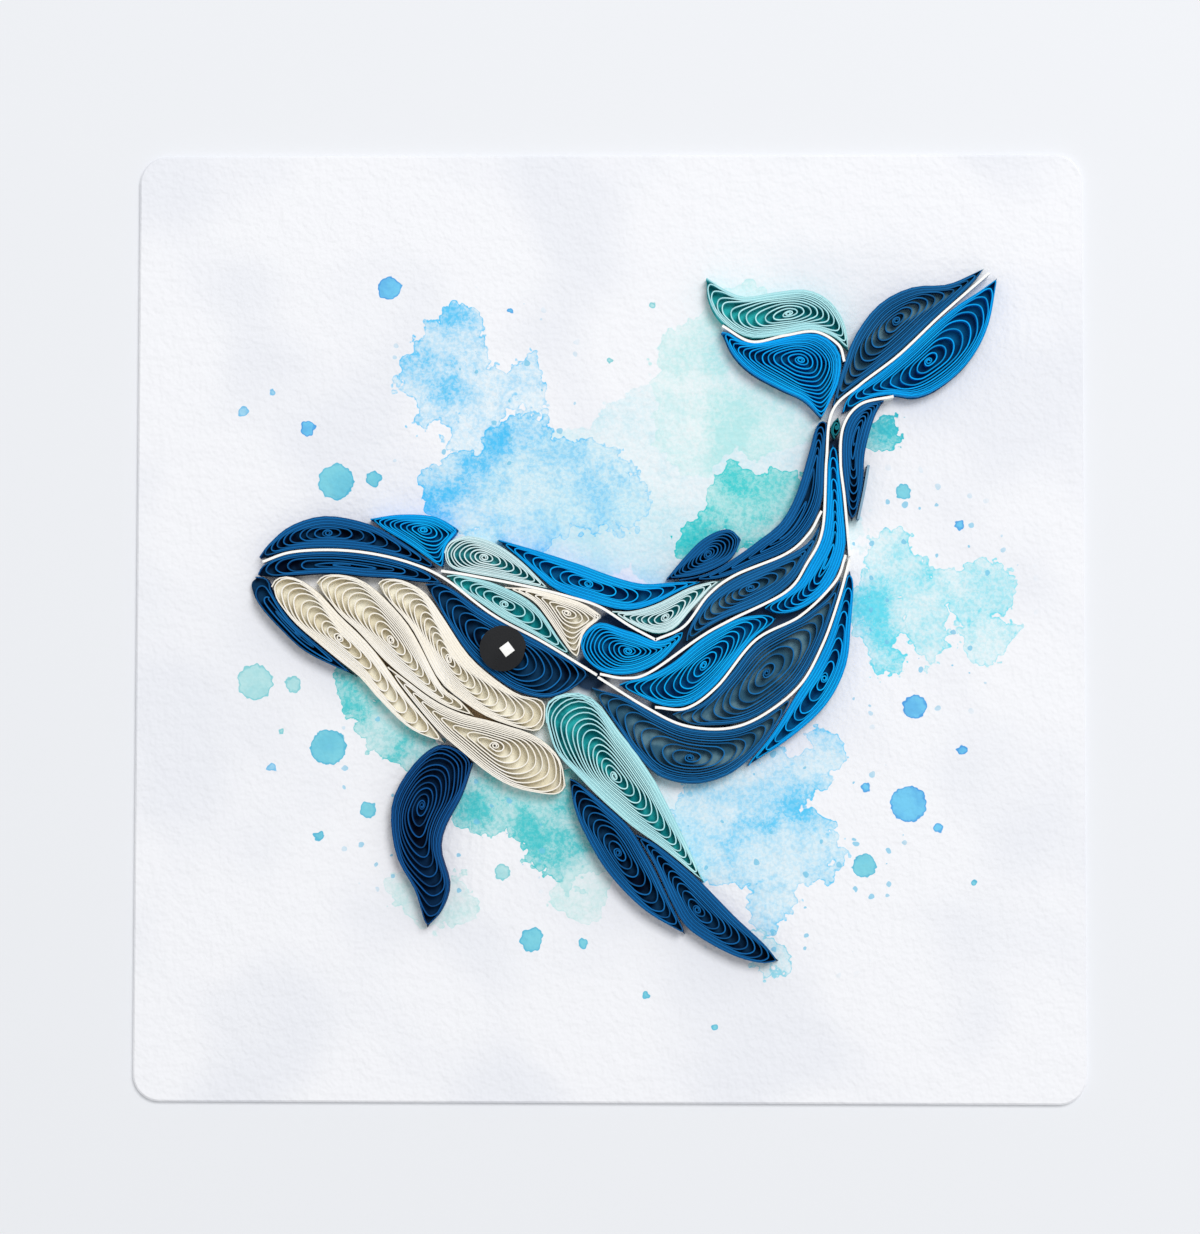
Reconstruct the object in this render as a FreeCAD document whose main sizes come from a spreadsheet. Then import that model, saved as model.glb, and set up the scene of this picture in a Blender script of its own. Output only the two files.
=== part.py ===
"""Quilled paper whale on a square watercolour card.

The card lies flat. The origin is at the middle of its underside, +Z is up out of the picture, +X is to the
right and +Y is to the top of the picture. Every quilled piece is one strip of paper standing on its edge, rolled
inwards from the tip of its shape, and its rolled turns are one solid. All lengths are in millimetres.
"""

import FreeCAD, Part
import Sketcher
import math
import os

Vector = FreeCAD.Vector

# Driving dimensions: alias, value, what it is
DRIVING_SIZES = [
    ("card_side", 150.0, "side of the square card"),
    ("card_board", 1.2, "thickness of the card board"),
    ("card_round", 4.3, "radius of the card corners"),
    ("card_edge_ease", 0.3, "eased top edge of the card"),
    ("whale_span", 125.2, "jaw tip to the tip of the right fluke, along X"),
    ("strip_height", 3.0, "width of the quilling strips, standing up from the card"),
    ("coil_gauge", 0.34, "one packed layer of rolled paper"),
    ("coil_slit", 0.10, "least open gap between two layers of one roll"),
    ("coil_core", 0.45, "half-width of the innermost loop of a roll"),
    ("edge_gauge", 0.42, "thickness of the white edge strips"),
    ("joint_gap", 0.12, "clearance between two pieces side by side"),
    ("eye_radius", 3.7, "radius of the tight black eye roll"),
    ("eye_height", 1.0, "thickness of the eye roll, which lies on the strips"),
    ("eye_groove", 0.12, "depth of the groove between two turns of the eye roll"),
    ("glint_side", 1.75, "side of the square white glint"),
    ("glint_thick", 0.3, "thickness of the glint"),
    ("glint_turn", 37.0, "turn of the glint, in degrees"),
]

# The picture's template: squares counted to the right and down, from the tip of the jaw to the right fluke.
TEMPLATE_SPAN = 795.0
TEMPLATE_MIDDLE = (608.6, 626.5)

EYE_PLACE = (503, 650)
EYE_RINGS = 1
GLINT_PLACE = (507.6, 650.6)

# A coil is two sides that run from its first tip to its last tip. A point given twice is a corner.
# Each entry: first tip, last tip, upper side, lower side, centre of the roll, turns.
COILS = {
    "upper_jaw": (
        (258, 559), (436, 569),
        [(269, 544), (291, 526), (326, 516.5), (370, 525), (400, 541)],
        [(285, 553), (320, 549.5), (361, 551.5), (400, 559)],
        (328, 534), 2.5),
    "upper_lip": (
        (257, 576), (446, 586),
        [(264, 566), (288, 557), (326, 555), (374, 558), (414, 568.5)],
        [(275, 577), (315, 575.5), (355, 577), (401, 580.5)],
        (350, 567), 1.6),
    "lower_jaw": (
        (255, 578), (356, 678),
        [(267, 582), (271, 594), (289, 621), (313, 644), (336, 663)],
        [(249, 586), (257, 606), (280, 632), (307, 655)],
        (290, 628), 1.6),
    "throat_1": (
        (271, 588), (444, 744),
        [(278, 580), (291, 579), (308, 587), (340, 618), (371, 648), (402, 690), (434, 728)],
        [(277, 602), (296, 625), (328, 651), (358, 677), (379, 701), (410, 730)],
        (341, 640), 3.5),
    "throat_2": (
        (316, 584), (474, 717),
        [(324, 576.5), (340, 575), (360, 581), (378, 595), (403, 621), (421, 650), (441, 687), (459, 701)],
        [(327, 598), (340, 616), (357, 632), (385, 662), (420, 690), (446, 706)],
        (391, 641), 2.9),
    "throat_3": (
        (378, 585), (545, 715),
        [(384, 580.5), (402, 581.5), (423, 595), (440, 619), (464, 655), (488, 678), (516, 696), (541, 701)],
        [(392, 605), (414, 632), (437, 677), (459, 699), (494, 719), (530, 731), (541, 729)],
        (449, 660), 3.5),
    "throat_4": (
        (386, 666), (566, 786),
        [(400, 677), (433, 702), (460, 715), (500, 726), (537, 738), (558, 759)],
        [(402, 689), (434, 728), (474, 764), (510, 787), (548, 795.5), (561, 793)],
        (495, 746), 3.2),
    "snout_blue": (
        (369, 520), (442, 569),
        [(400, 515.5), (435, 517.5), (458, 530), (458, 530), (446, 544), (443, 557)],
        [(385, 533), (415, 550)],
        (423, 531), 2.0),
    "aqua_brow": (
        (444, 554), (550, 590.5),
        [(452, 542), (470, 537), (494, 544), (521, 561), (541, 581)],
        [(450, 568), (468, 575.5), (504, 581), (534, 587.5)],
        (484.5, 558.5), 2.5),
    "dorsal_blue": (
        (497, 540), (705, 582),
        [(536, 551), (580, 565), (610, 576), (640, 584), (667, 583.5)],
        [(516, 558), (543, 582), (562, 595), (598, 606.5), (630, 610.5), (654, 604), (680, 591)],
        (588, 585), 3.0),
    "aqua_cheek": (
        (446, 577), (571, 656),
        [(469, 580), (510, 591), (535, 608), (557, 639)],
        [(461, 593), (493, 613), (527, 631), (556, 648)],
        (504, 605), 2.0),
    "cheek_cream": (
        (503, 588), (577, 659),
        [(539, 594), (578, 604), (601, 617), (601, 617), (585, 629), (579.5, 642)],
        [(532, 601), (548, 618), (567, 647)],
        (567, 614), 2.2),
    "eye_patch": (
        (425, 585), (589, 676),
        [(445, 586), (476, 610), (510, 628), (543, 647), (574, 666)],
        [(438, 603), (455, 631), (472, 655), (496, 676), (520, 692), (546, 699), (571, 690)],
        (505, 650), 2.5),
    "aqua_back": (
        (611, 612), (721, 581),
        [(632, 613), (659, 605), (687, 590), (706, 584)],
        [(632, 624), (656, 633), (675, 627), (693, 606), (707, 590)],
        (666, 618), 1.8),
    "saddle_blue": (
        (582, 650), (684, 632),
        [(585, 637), (601, 624), (627, 632.5), (652, 642), (670, 640)],
        [(588, 662), (606, 672.5), (634, 673), (658, 662), (677, 645)],
        (628, 652), 3.0),
    "navy_back": (
        (686, 642), (822, 518),
        [(695, 619), (709, 598), (735, 581), (766, 567), (796, 554), (813, 540)],
        [(702, 630), (728, 616), (760, 603), (788, 586), (801, 573), (812, 550)],
        (750, 589), 1.8),
    "blue_mid": (
        (619, 685.5), (776, 619),
        [(648, 679), (673, 665), (701, 643), (734, 622.5), (760, 616)],
        [(633, 693), (661, 706), (687, 705), (711, 689), (734, 664), (754, 637)],
        (703, 666), 2.8),
    "tail_blue": (
        (764, 609), (833, 444),
        [(781, 597), (800, 581), (812, 558), (822, 535), (827, 503), (829, 468)],
        [(784, 614), (815, 603), (832, 586), (844, 556), (841, 520), (837, 470)],
        (826.5, 562), 2.0),
    "navy_flank": (
        (672, 715), (841, 577),
        [(704, 705), (732, 677), (755, 647), (779, 628), (808, 614), (829, 599)],
        [(697, 724), (739, 722), (766, 711), (797, 684), (819, 649), (833, 609)],
        (765, 674), 3.2),
    "belly_navy": (
        (592, 688), (791, 698),
        [(623, 699), (655, 717), (690, 731), (730, 732), (762, 720)],
        [(611, 719), (636, 756), (661, 778), (694, 785), (728, 776), (753, 755), (771, 732)],
        (690, 758), 3.0),
    "flank_blue": (
        (747, 767), (850, 571),
        [(771, 737), (787, 713), (803, 683), (828, 642), (841, 604)],
        [(790, 739), (826, 706), (846, 667), (851, 624), (853.5, 588)],
        (823, 680), 2.2),
    "tail_navy": (
        (674, 581.5), (827, 422),
        [(706, 576), (733, 561), (757, 542), (780, 523), (796, 494), (808, 455), (817, 424)],
        [(724, 579), (760, 564), (792, 550), (810, 529), (822.5, 497), (823.5, 455)],
        (790, 530), 1.8),
    "dorsal_fin": (
        (666, 580), (741, 540),
        [(684, 558), (704, 538.5), (727, 529.5)],
        [(691, 577), (714, 569), (731, 558)],
        (708, 555), 1.6),
    "tail_bud": (
        (884, 401), (852, 521),
        [(862, 405), (847, 421), (842, 450), (846, 490)],
        [(874, 421), (865, 455), (859, 492)],
        (855, 438), 1.6),
    "tail_filler": (
        (834, 440), (838, 417),
        [(832, 428)],
        [(840, 429)],
        (836, 428), 0.8),
    "fluke_left_aqua": (
        (707, 281), (849, 350),
        [(724, 289), (746, 297), (776, 292), (806, 289.5), (829, 300), (844, 322)],
        [(707, 297), (718, 319), (741, 335.5), (777, 337), (808, 331), (834, 337)],
        (789, 314), 2.8),
    "fluke_left_blue": (
        (721, 332), (821, 419),
        [(744, 344), (771, 343), (800, 336.5), (822, 338), (839, 355), (840, 380), (829, 403)],
        [(732, 355), (751, 374), (780, 390), (803, 401)],
        (800, 360), 3.0),
    "fluke_right_navy": (
        (832, 408), (983, 270),
        [(841, 370), (857, 332), (880, 303), (912, 287), (948, 284)],
        [(851, 389), (875, 372), (904, 346), (929, 325), (958, 299)],
        (896, 321), 2.8),
    "fluke_right_blue": (
        (842, 413), (996, 279),
        [(853, 393), (881, 375), (908, 352), (941, 321), (972, 297)],
        [(867, 398), (890, 395), (916, 398.5), (941, 388), (969, 363), (988, 328)],
        (929, 361), 2.8),
    "flipper_aqua": (
        (547, 724), (704, 882),
        [(550, 702), (572, 693.5), (594, 701), (617, 728), (643, 762), (665, 800), (688, 846)],
        [(561, 757), (590, 786), (630, 823), (674, 857)],
        (613, 776), 4.0),
    "flipper_navy_left": (
        (570, 779), (685, 934),
        [(600, 804), (631, 831), (648, 859), (668, 898)],
        [(574, 809), (586, 838), (609, 875), (644, 910)],
        (618, 852), 2.8),
    "flipper_navy_right": (
        (635, 834), (778, 960),
        [(659, 847), (702, 883), (735, 916), (764, 943)],
        [(655, 865), (672, 903), (691, 931), (728, 953), (758, 962)],
        (697, 909), 2.8),
    "flipper_left": (
        (473, 764), (428, 928),
        [(462, 797), (446, 828), (442, 852), (451, 885), (443, 911)],
        [(462, 751), (438, 745.5), (412, 766), (392, 804), (396, 853), (415, 889), (424, 917)],
        (423, 806), 3.2),
}

# White paper strips that edge the body, each along its own line.
EDGE_STRIPS = {
    "mouth_line": [(262, 563), (290, 553.5), (330, 551), (370, 554.5), (410, 564), (445, 580), (493, 616),
                   (543, 643), (588, 669)],
    "belly_line": [(598, 678), (646, 708), (684, 726), (726, 729), (761, 716.5), (799, 686), (822, 645),
                   (838, 600), (849, 560)],
    "brow_line": [(441, 572), (470, 576.5), (530, 588), (570, 598), (600, 608), (630, 627), (653, 639)],
    "back_line": [(660, 639), (684, 627), (708, 596), (735, 576), (785, 555), (808, 535), (821, 512)],
    "spine_line": [(600, 675), (625, 679), (650, 673), (700, 638), (730, 621), (785, 593), (806, 565),
                   (822, 530), (826, 460), (832, 412), (860, 385), (899, 355), (941, 315), (988, 281)],
    "flank_line": [(655, 708), (686, 709), (717, 687), (755, 641), (800, 616.5), (834, 583), (845, 556)],
    "tail_edge_line": [(893, 397), (860, 405), (843, 427), (840, 462), (844, 500), (849, 557)],
    "bud_line": [(868, 466), (863.5, 492), (857.5, 520)],
    "fluke_line": [(722, 326), (751, 342), (784, 336), (815, 332), (838, 345), (844, 362)],
}

# How finely lines, loops and sides are followed, and the fewest turns of a roll.
CURVE_STEPS = 10
LOOP_STEPS = 28
FACET_ERROR = 0.12
LEAST_TURNS = 0.8
SAMPLES = 100

# Shares that shape a roll: its heart, its pinched tips, its sharpest corner and the spans that are measured.
CORE_STRETCH = 2.2
PINCH_SHARE = 0.6
LEAST_MITRE = 0.6
TIP_SHARE = 0.03
MIDDLE_SPAN = 0.05
SAME_POINT = 1e-6


def fill_sheet(document):
    """Writes the driving dimensions into the sheet, one alias each, and returns the sheet."""
    sheet = document.addObject("Spreadsheet::Sheet", "Sizes")
    for row, (alias, value, meaning) in enumerate(DRIVING_SIZES, start=1):
        sheet.set("A%d" % row, alias)
        sheet.set("B%d" % row, str(value))
        sheet.setAlias("B%d" % row, alias)
        sheet.set("C%d" % row, meaning)
    document.recompute()
    return sheet


class Template:
    """Turns template squares into places on the card."""

    def __init__(self, sheet):
        self.unit = sheet.whale_span / TEMPLATE_SPAN

    def place(self, square):
        """Gives the place on the card of one template point."""
        across = square[0] - TEMPLATE_MIDDLE[0]
        down = square[1] - TEMPLATE_MIDDLE[1]
        return Vector(across * self.unit, -down * self.unit, 0)


def smooth_run(points):
    """Rounds one run of points into a fine line that passes through each of them."""
    if len(points) < 3:
        return list(points)
    padded = [points[0] * 2 - points[1]] + points + [points[-1] * 2 - points[-2]]
    fine = [points[0]]
    for before, start, end, after in zip(padded, padded[1:], padded[2:], padded[3:]):
        for step in range(1, CURVE_STEPS + 1):
            share = step / CURVE_STEPS
            leave = (end - before) * 0.5
            arrive = (after - start) * 0.5
            cubic = (start - end) * 2 + leave + arrive
            square = (end - start) * 3 - leave * 2 - arrive
            fine.append(start + leave * share + square * share ** 2 + cubic * share ** 3)
    return fine


def smooth_line(points):
    """Rounds a line, and keeps a corner at each point that is given twice."""
    runs = [[points[0]]]
    for earlier, later in zip(points, points[1:]):
        if later.isEqual(earlier, SAME_POINT):
            runs.append([later])
        else:
            runs[-1].append(later)
    fine = [points[0]]
    for run in runs:
        fine.extend(smooth_run(run)[1:])
    return fine


class Line:
    """A fine line that can be asked for the point at any share of its length."""

    def __init__(self, points):
        self.points = points
        self.reach = [0.0]
        for earlier, later in zip(points, points[1:]):
            self.reach.append(self.reach[-1] + later.distanceToPoint(earlier))
        self.length = self.reach[-1]

    def at(self, share):
        """Gives the point at a share of the length, from 0 to 1."""
        wanted = min(max(share, 0.0), 1.0) * self.length
        index = 1
        while index < len(self.reach) - 1 and self.reach[index] < wanted:
            index += 1
        span = self.reach[index] - self.reach[index - 1]
        part = (wanted - self.reach[index - 1]) / span if span > 0 else 0.0
        return self.points[index - 1] + (self.points[index] - self.points[index - 1]) * part


class Roll:
    """The path of one strip that is rolled inwards inside the outline of its coil.

    The outline is two sides between two tips. Each loop lies further in than the one before, by the same amount
    along both sides, and its two ends step evenly from the tips to the centre of the roll.
    """

    def __init__(self, sheet, template, coil):
        first, last, upper, lower, centre, turns = coil
        self.gauge = sheet.coil_gauge
        self.least_half = (sheet.coil_gauge + sheet.coil_slit) / 2
        self.start_inset = (sheet.coil_gauge + sheet.joint_gap) / 2
        self.clearance = sheet.joint_gap
        self.upper = Line(smooth_line([template.place(p) for p in [first] + upper + [last]]))
        self.lower = Line(smooth_line([template.place(p) for p in [first] + lower + [last]]))
        self.length = (self.upper.length + self.lower.length) / 2
        self.halves = [self.half_width(step / SAMPLES) for step in range(SAMPLES + 1)]
        self.centre = self.nearest_share(template.place(centre))
        self.core_half = sheet.coil_core
        self.core_inset = max(self.half_width(self.centre) - self.core_half, self.start_inset)
        self.core_share = CORE_STRETCH * self.core_half / self.length
        room = (self.core_inset - self.start_inset) / (sheet.coil_gauge + sheet.coil_slit)
        self.turns = max(min(turns, room), LEAST_TURNS)

    def half_width(self, share):
        """Half the distance from side to side."""
        return self.upper.at(share).distanceToPoint(self.lower.at(share)) / 2

    def middle(self, share):
        """The point half way between the sides."""
        return (self.upper.at(share) + self.lower.at(share)) * 0.5

    def nearest_share(self, place):
        """The share of the length at which the middle is nearest to a place."""
        shares = [step / SAMPLES for step in range(SAMPLES + 1)]
        return min(shares, key=lambda share: self.middle(share).distanceToPoint(place))

    def fitting_share(self, inset, from_last):
        """The share at which a loop with this inset first has room, coming from one of the tips."""
        wanted = inset + self.least_half
        order = list(range(SAMPLES, -1, -1)) if from_last else list(range(SAMPLES + 1))
        earlier = order[0]
        for step in order:
            if self.halves[step] >= wanted:
                rise = self.halves[step] - self.halves[earlier]
                part = (wanted - self.halves[earlier]) / rise if rise > 0 else 1.0
                return (earlier + (step - earlier) * part) / SAMPLES
            earlier = step
        return self.centre

    def loop(self, turn):
        """Inset and the two ends of the loop at a turn, counted from the outside."""
        progress = min(turn / self.turns, 1.0)
        inset = self.start_inset + (self.core_inset - self.start_inset) * progress
        first_end = (self.centre - self.core_share) * progress
        last_end = 1.0 - (1.0 - self.centre - self.core_share) * progress
        first_end = min(max(first_end, self.fitting_share(inset, False)), self.centre)
        last_end = max(min(last_end, self.fitting_share(inset, True)), self.centre)
        return inset, first_end, last_end

    def point(self, turn):
        """The strip's place after so many turns."""
        inset, first_end, last_end = self.loop(turn)
        phase = 2 * math.pi * (turn % 1.0)
        share = first_end + (last_end - first_end) * (1 - math.cos(phase)) / 2
        side = self.upper.at(share) if phase < math.pi else self.lower.at(share)
        middle = self.middle(share)
        half = side.distanceToPoint(middle)
        if half < SAME_POINT:
            return middle
        room = max(half - inset, 0.0)
        first_round = max(self.half_width(first_end) - inset, self.least_half)
        last_round = max(self.half_width(last_end) - inset, self.least_half)
        to_first = min((share - first_end) * self.length / first_round, 1.0)
        to_last = min((last_end - share) * self.length / last_round, 1.0)
        cap = math.sqrt(max(1 - (1 - to_first) ** 2, 0)) * math.sqrt(max(1 - (1 - to_last) ** 2, 0))
        return middle + (side - middle) * (room * cap / half)

    def path(self):
        """The strip's middle line, from its outer end to its inner end, and its two pinched tips.

        Each tip is the number of a point of the path, with the corners that the outside of the strip has there.
        """
        first_fold = self.stretch(0.0, 0.5)
        path = first_fold + self.stretch(0.5, self.turns)[1:]
        first_end = self.loop(0.0)[1]
        last_end = self.loop(0.5)[2]
        out_of_first = self.pinch(self.upper, 0.0, first_end)
        into_last = self.pinch(self.upper, 1.0, last_end)[::-1]
        out_of_last = self.pinch(self.lower, 1.0, last_end)
        return path, {0: out_of_first, len(first_fold) - 1: into_last + out_of_last[1:]}

    def pinch(self, side, tip_share, fold_share):
        """The outside of one layer from the tip to the share where the fold opens."""
        fine = [self.tip(tip_share > 0.5)]
        for step in range(1, CURVE_STEPS + 1):
            share = tip_share + (fold_share - tip_share) * step / CURVE_STEPS
            place = side.at(share)
            inwards = self.middle(share) - place
            depth = min(self.clearance / 2, inwards.Length * PINCH_SHARE)
            if (place - fine[0]).Length > self.gauge:
                fine.append(place + inwards.normalize() * depth)
        return thin_path(fine, FACET_ERROR)

    def winds_clockwise(self):
        """Whether the middle of the roll lies to the right of the strip as it runs inwards."""
        ahead = self.upper.at(0.5 + MIDDLE_SPAN) - self.upper.at(0.5 - MIDDLE_SPAN)
        inwards = self.middle(0.5) - self.upper.at(0.5)
        return ahead.x * inwards.y - ahead.y * inwards.x < 0

    def stretch(self, start, end):
        """The strip's middle line between two counts of turns, with only the points that it needs."""
        steps = max(int((end - start) * LOOP_STEPS * 2), 4)
        fine = [self.point(start + (end - start) * step / steps) for step in range(steps + 1)]
        return space_out(thin_path(fine, FACET_ERROR), self.gauge)

    def tip(self, last):
        """The corner of the coil at one of its tips, kept clear of what lies beyond it."""
        corner = self.upper.at(1.0 if last else 0.0)
        inwards = self.middle(1.0 - TIP_SHARE if last else TIP_SHARE) - corner
        return corner + inwards.normalize() * self.clearance


def distance_to_chord(point, start, end):
    """How far a point lies from the straight line between two others."""
    chord = end - start
    if chord.Length < SAME_POINT:
        return point.distanceToPoint(start)
    along = max(0.0, min(1.0, (point - start).dot(chord) / chord.Length ** 2))
    return point.distanceToPoint(start + chord * along)


def thin_path(points, error):
    """Keeps only the points that a path needs to stay within an error of its true line."""
    if len(points) < 3:
        return list(points)
    away = [distance_to_chord(point, points[0], points[-1]) for point in points[1:-1]]
    worst = max(range(len(away)), key=away.__getitem__)
    if away[worst] <= error:
        return [points[0], points[-1]]
    middle = worst + 1
    return thin_path(points[:middle + 1], error)[:-1] + thin_path(points[middle:], error)


def space_out(points, least):
    """Leaves out each inner point that lies closer than the least distance to its neighbour."""
    kept = [points[0]]
    for point in points[1:-1]:
        if min(point.distanceToPoint(kept[-1]), point.distanceToPoint(points[-1])) >= least:
            kept.append(point)
    return kept + [points[-1]]


def ribbon_outline(path, gauge, tips=None, clockwise=True):
    """The closed outline of a paper strip seen from above, half the gauge to each side of its path.

    Where the strip is pinched into a tip, its outer side has the corners that are given. The outer side is the left
    one of a strip that winds clockwise.
    """
    left = {}
    right = {}
    for index, point in enumerate(path):
        before = path[max(index - 1, 0)]
        after = path[min(index + 1, len(path) - 1)]
        arrive = (point - before).normalize() if index > 0 else (after - point).normalize()
        leave = (after - point).normalize() if index < len(path) - 1 else arrive
        normal = Vector(-arrive.y - leave.y, arrive.x + leave.x, 0)
        if normal.Length < SAME_POINT:
            normal = Vector(-leave.y, leave.x, 0)
        normal.normalize()
        mitre = max(normal.dot(Vector(-leave.y, leave.x, 0)), LEAST_MITRE)
        reach = normal * (gauge / 2 / mitre)
        left[index] = [point + reach]
        right[index] = [point - reach]
    outer = left if clockwise else right
    outer.update(tips or {})
    forth = [corner for index in range(len(path)) for corner in left[index]]
    back = [corner for index in range(len(path)) for corner in right[index]]
    return forth + back[::-1]


def add_body(document, name):
    """Adds an empty body with its label."""
    body = document.addObject("PartDesign::Body", name)
    body.Label = name
    return body


def base_plane(body):
    """The body's own XY plane."""
    for feature in body.Origin.OriginFeatures:
        if feature.Role == "XY_Plane":
            return feature
    raise ValueError("body without an XY plane")


def add_sketch(body, name, height_expression):
    """Adds a sketch that lies at a height above the body's XY plane."""
    sketch = body.newObject("Sketcher::SketchObject", name)
    sketch.AttachmentSupport = [(base_plane(body), "")]
    sketch.MapMode = "FlatFace"
    if height_expression:
        sketch.setExpression("AttachmentOffset.Base.z", height_expression)
    return sketch


def close_with_lines(sketch, corners):
    """Draws a closed outline of straight lines."""
    following = corners[1:] + corners[:1]
    lines = [Part.LineSegment(start, end) for start, end in zip(corners, following)]
    sketch.addGeometry(lines, False)


def add_pad(body, sketch, name, length_expression):
    """Pads a sketch up to a bound height."""
    pad = body.newObject("PartDesign::Pad", name)
    pad.Profile = sketch
    pad.setExpression("Length", length_expression)
    sketch.Visibility = False
    return pad


def make_card(document, sheet):
    """The square card, with round corners and an eased top edge."""
    body = add_body(document, "card")
    sketch = add_sketch(body, "card_outline", "")
    half = sheet.card_side / 2
    corners = [Vector(-half, -half, 0), Vector(half, -half, 0), Vector(half, half, 0), Vector(-half, half, 0)]
    close_with_lines(sketch, corners)
    for line in range(4):
        sketch.addConstraint(Sketcher.Constraint("Coincident", line, 2, (line + 1) % 4, 1))
    for line in (0, 2):
        sketch.addConstraint(Sketcher.Constraint("Horizontal", line))
    for line in (1, 3):
        sketch.addConstraint(Sketcher.Constraint("Vertical", line))
    sketch.addConstraint(Sketcher.Constraint("Symmetric", 0, 1, 1, 2, -1, 1))
    width = sketch.addConstraint(Sketcher.Constraint("DistanceX", 0, 1, 0, 2, sheet.card_side))
    depth = sketch.addConstraint(Sketcher.Constraint("DistanceY", 1, 1, 1, 2, sheet.card_side))
    sketch.setExpression("Constraints[%d]" % width, "Sizes.card_side")
    sketch.setExpression("Constraints[%d]" % depth, "Sizes.card_side")
    pad = add_pad(body, sketch, "card_board_pad", "Sizes.card_board")
    document.recompute()
    upright = [
        "Edge%d" % number for number, edge in enumerate(pad.Shape.Edges, start=1)
        if abs(edge.Vertexes[0].Z - edge.Vertexes[1].Z) > sheet.card_board / 2
    ]
    rounding = body.newObject("PartDesign::Fillet", "card_corners")
    rounding.Base = (pad, upright)
    rounding.setExpression("Radius", "Sizes.card_round")
    document.recompute()
    rim = [
        "Edge%d" % number for number, edge in enumerate(rounding.Shape.Edges, start=1)
        if edge.BoundBox.ZMin > sheet.card_board / 2
    ]
    easing = body.newObject("PartDesign::Chamfer", "card_rim")
    easing.Base = (rounding, rim)
    easing.setExpression("Size", "Sizes.card_edge_ease")
    return body


def make_ribbon(document, name, outline):
    """One strip of paper that stands on the card, inside its outline."""
    body = add_body(document, name)
    sketch = add_sketch(body, name + "_plan", "Sizes.card_board")
    close_with_lines(sketch, outline)
    add_pad(body, sketch, name + "_strip", "Sizes.strip_height")
    return body


def make_coils(document, sheet, template):
    """Every rolled coil of the whale."""
    bodies = []
    for name, coil in COILS.items():
        roll = Roll(sheet, template, coil)
        path, tips = roll.path()
        outline = ribbon_outline(path, sheet.coil_gauge, tips, roll.winds_clockwise())
        bodies.append(make_ribbon(document, name, outline))
    return bodies


def make_edge_strips(document, sheet, template):
    """The white strips between the coils."""
    bodies = []
    for name, points in EDGE_STRIPS.items():
        path = thin_path(smooth_line([template.place(point) for point in points]), FACET_ERROR)
        bodies.append(make_ribbon(document, name, ribbon_outline(path, sheet.edge_gauge)))
    return bodies


def make_eye(document, sheet, template):
    """The tight black roll that lies on the strips, with shallow ring grooves between its turns."""
    body = add_body(document, "eye")
    middle = template.place(EYE_PLACE)
    sketch = add_sketch(body, "eye_circle", "Sizes.card_board + Sizes.strip_height")
    sketch.addGeometry(Part.Circle(middle, Vector(0, 0, 1), sheet.eye_radius), False)
    radius = sketch.addConstraint(Sketcher.Constraint("Radius", 0, sheet.eye_radius))
    sketch.setExpression("Constraints[%d]" % radius, "Sizes.eye_radius")
    roll = add_pad(body, sketch, "eye_roll", "Sizes.eye_height")
    document.recompute()
    solid = roll.Shape.Volume
    rings = add_sketch(body, "eye_rings", "Sizes.card_board + Sizes.strip_height + Sizes.eye_height")
    spacing = (sheet.eye_radius - sheet.glint_side) / (EYE_RINGS + 1)
    for ring in range(1, EYE_RINGS + 1):
        inner = sheet.glint_side + spacing * ring - sheet.eye_groove / 2
        for edge in (inner, inner + sheet.eye_groove):
            rings.addGeometry(Part.Circle(middle, Vector(0, 0, 1), edge), False)
    groove = body.newObject("PartDesign::Pocket", "eye_grooves")
    groove.Profile = rings
    groove.setExpression("Length", "Sizes.eye_groove")
    rings.Visibility = False
    document.recompute()
    if groove.Shape.Volume >= solid:
        raise RuntimeError("the ring grooves of the eye cut nothing")
    return body


def make_glint(document, sheet, template):
    """The small white square that is glued on the eye."""
    body = add_body(document, "glint")
    sketch = add_sketch(body, "glint_square", "Sizes.card_board + Sizes.strip_height + Sizes.eye_height")
    middle = template.place(GLINT_PLACE)
    reach = sheet.glint_side / math.sqrt(2)
    corners = []
    for quarter in range(4):
        angle = math.radians(45 + sheet.glint_turn + 90 * quarter)
        corners.append(middle + Vector(reach * math.cos(angle), reach * math.sin(angle), 0))
    close_with_lines(sketch, corners)
    add_pad(body, sketch, "glint_paper", "Sizes.glint_thick")
    return body


def check_document(document, bodies):
    """Stops if any object failed or any piece has no sound solid."""
    for item in document.Objects:
        if "Invalid" in item.State or "Error" in item.State:
            raise RuntimeError("%s failed: %s" % (item.Label, item.State))
    for body in bodies:
        if body.Shape.isNull() or not body.Shape.isValid():
            raise RuntimeError("%s has no sound shape" % body.Label)
        if len(body.Shape.Solids) != 1:
            raise RuntimeError("%s has %d solids" % (body.Label, len(body.Shape.Solids)))


def main():
    """Builds the whale and writes one file for each piece."""
    document = FreeCAD.newDocument("QuilledWhale")
    sheet = fill_sheet(document)
    template = Template(sheet)
    bodies = [make_card(document, sheet)]
    bodies += make_coils(document, sheet, template)
    bodies += make_edge_strips(document, sheet, template)
    bodies.append(make_eye(document, sheet, template))
    bodies.append(make_glint(document, sheet, template))
    document.recompute()
    check_document(document, bodies)
    os.makedirs("parts", exist_ok=True)
    for body in bodies:
        body.Shape.exportStep("parts/%s.step" % body.Label)
    print("pieces:", len(bodies))


main()
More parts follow.
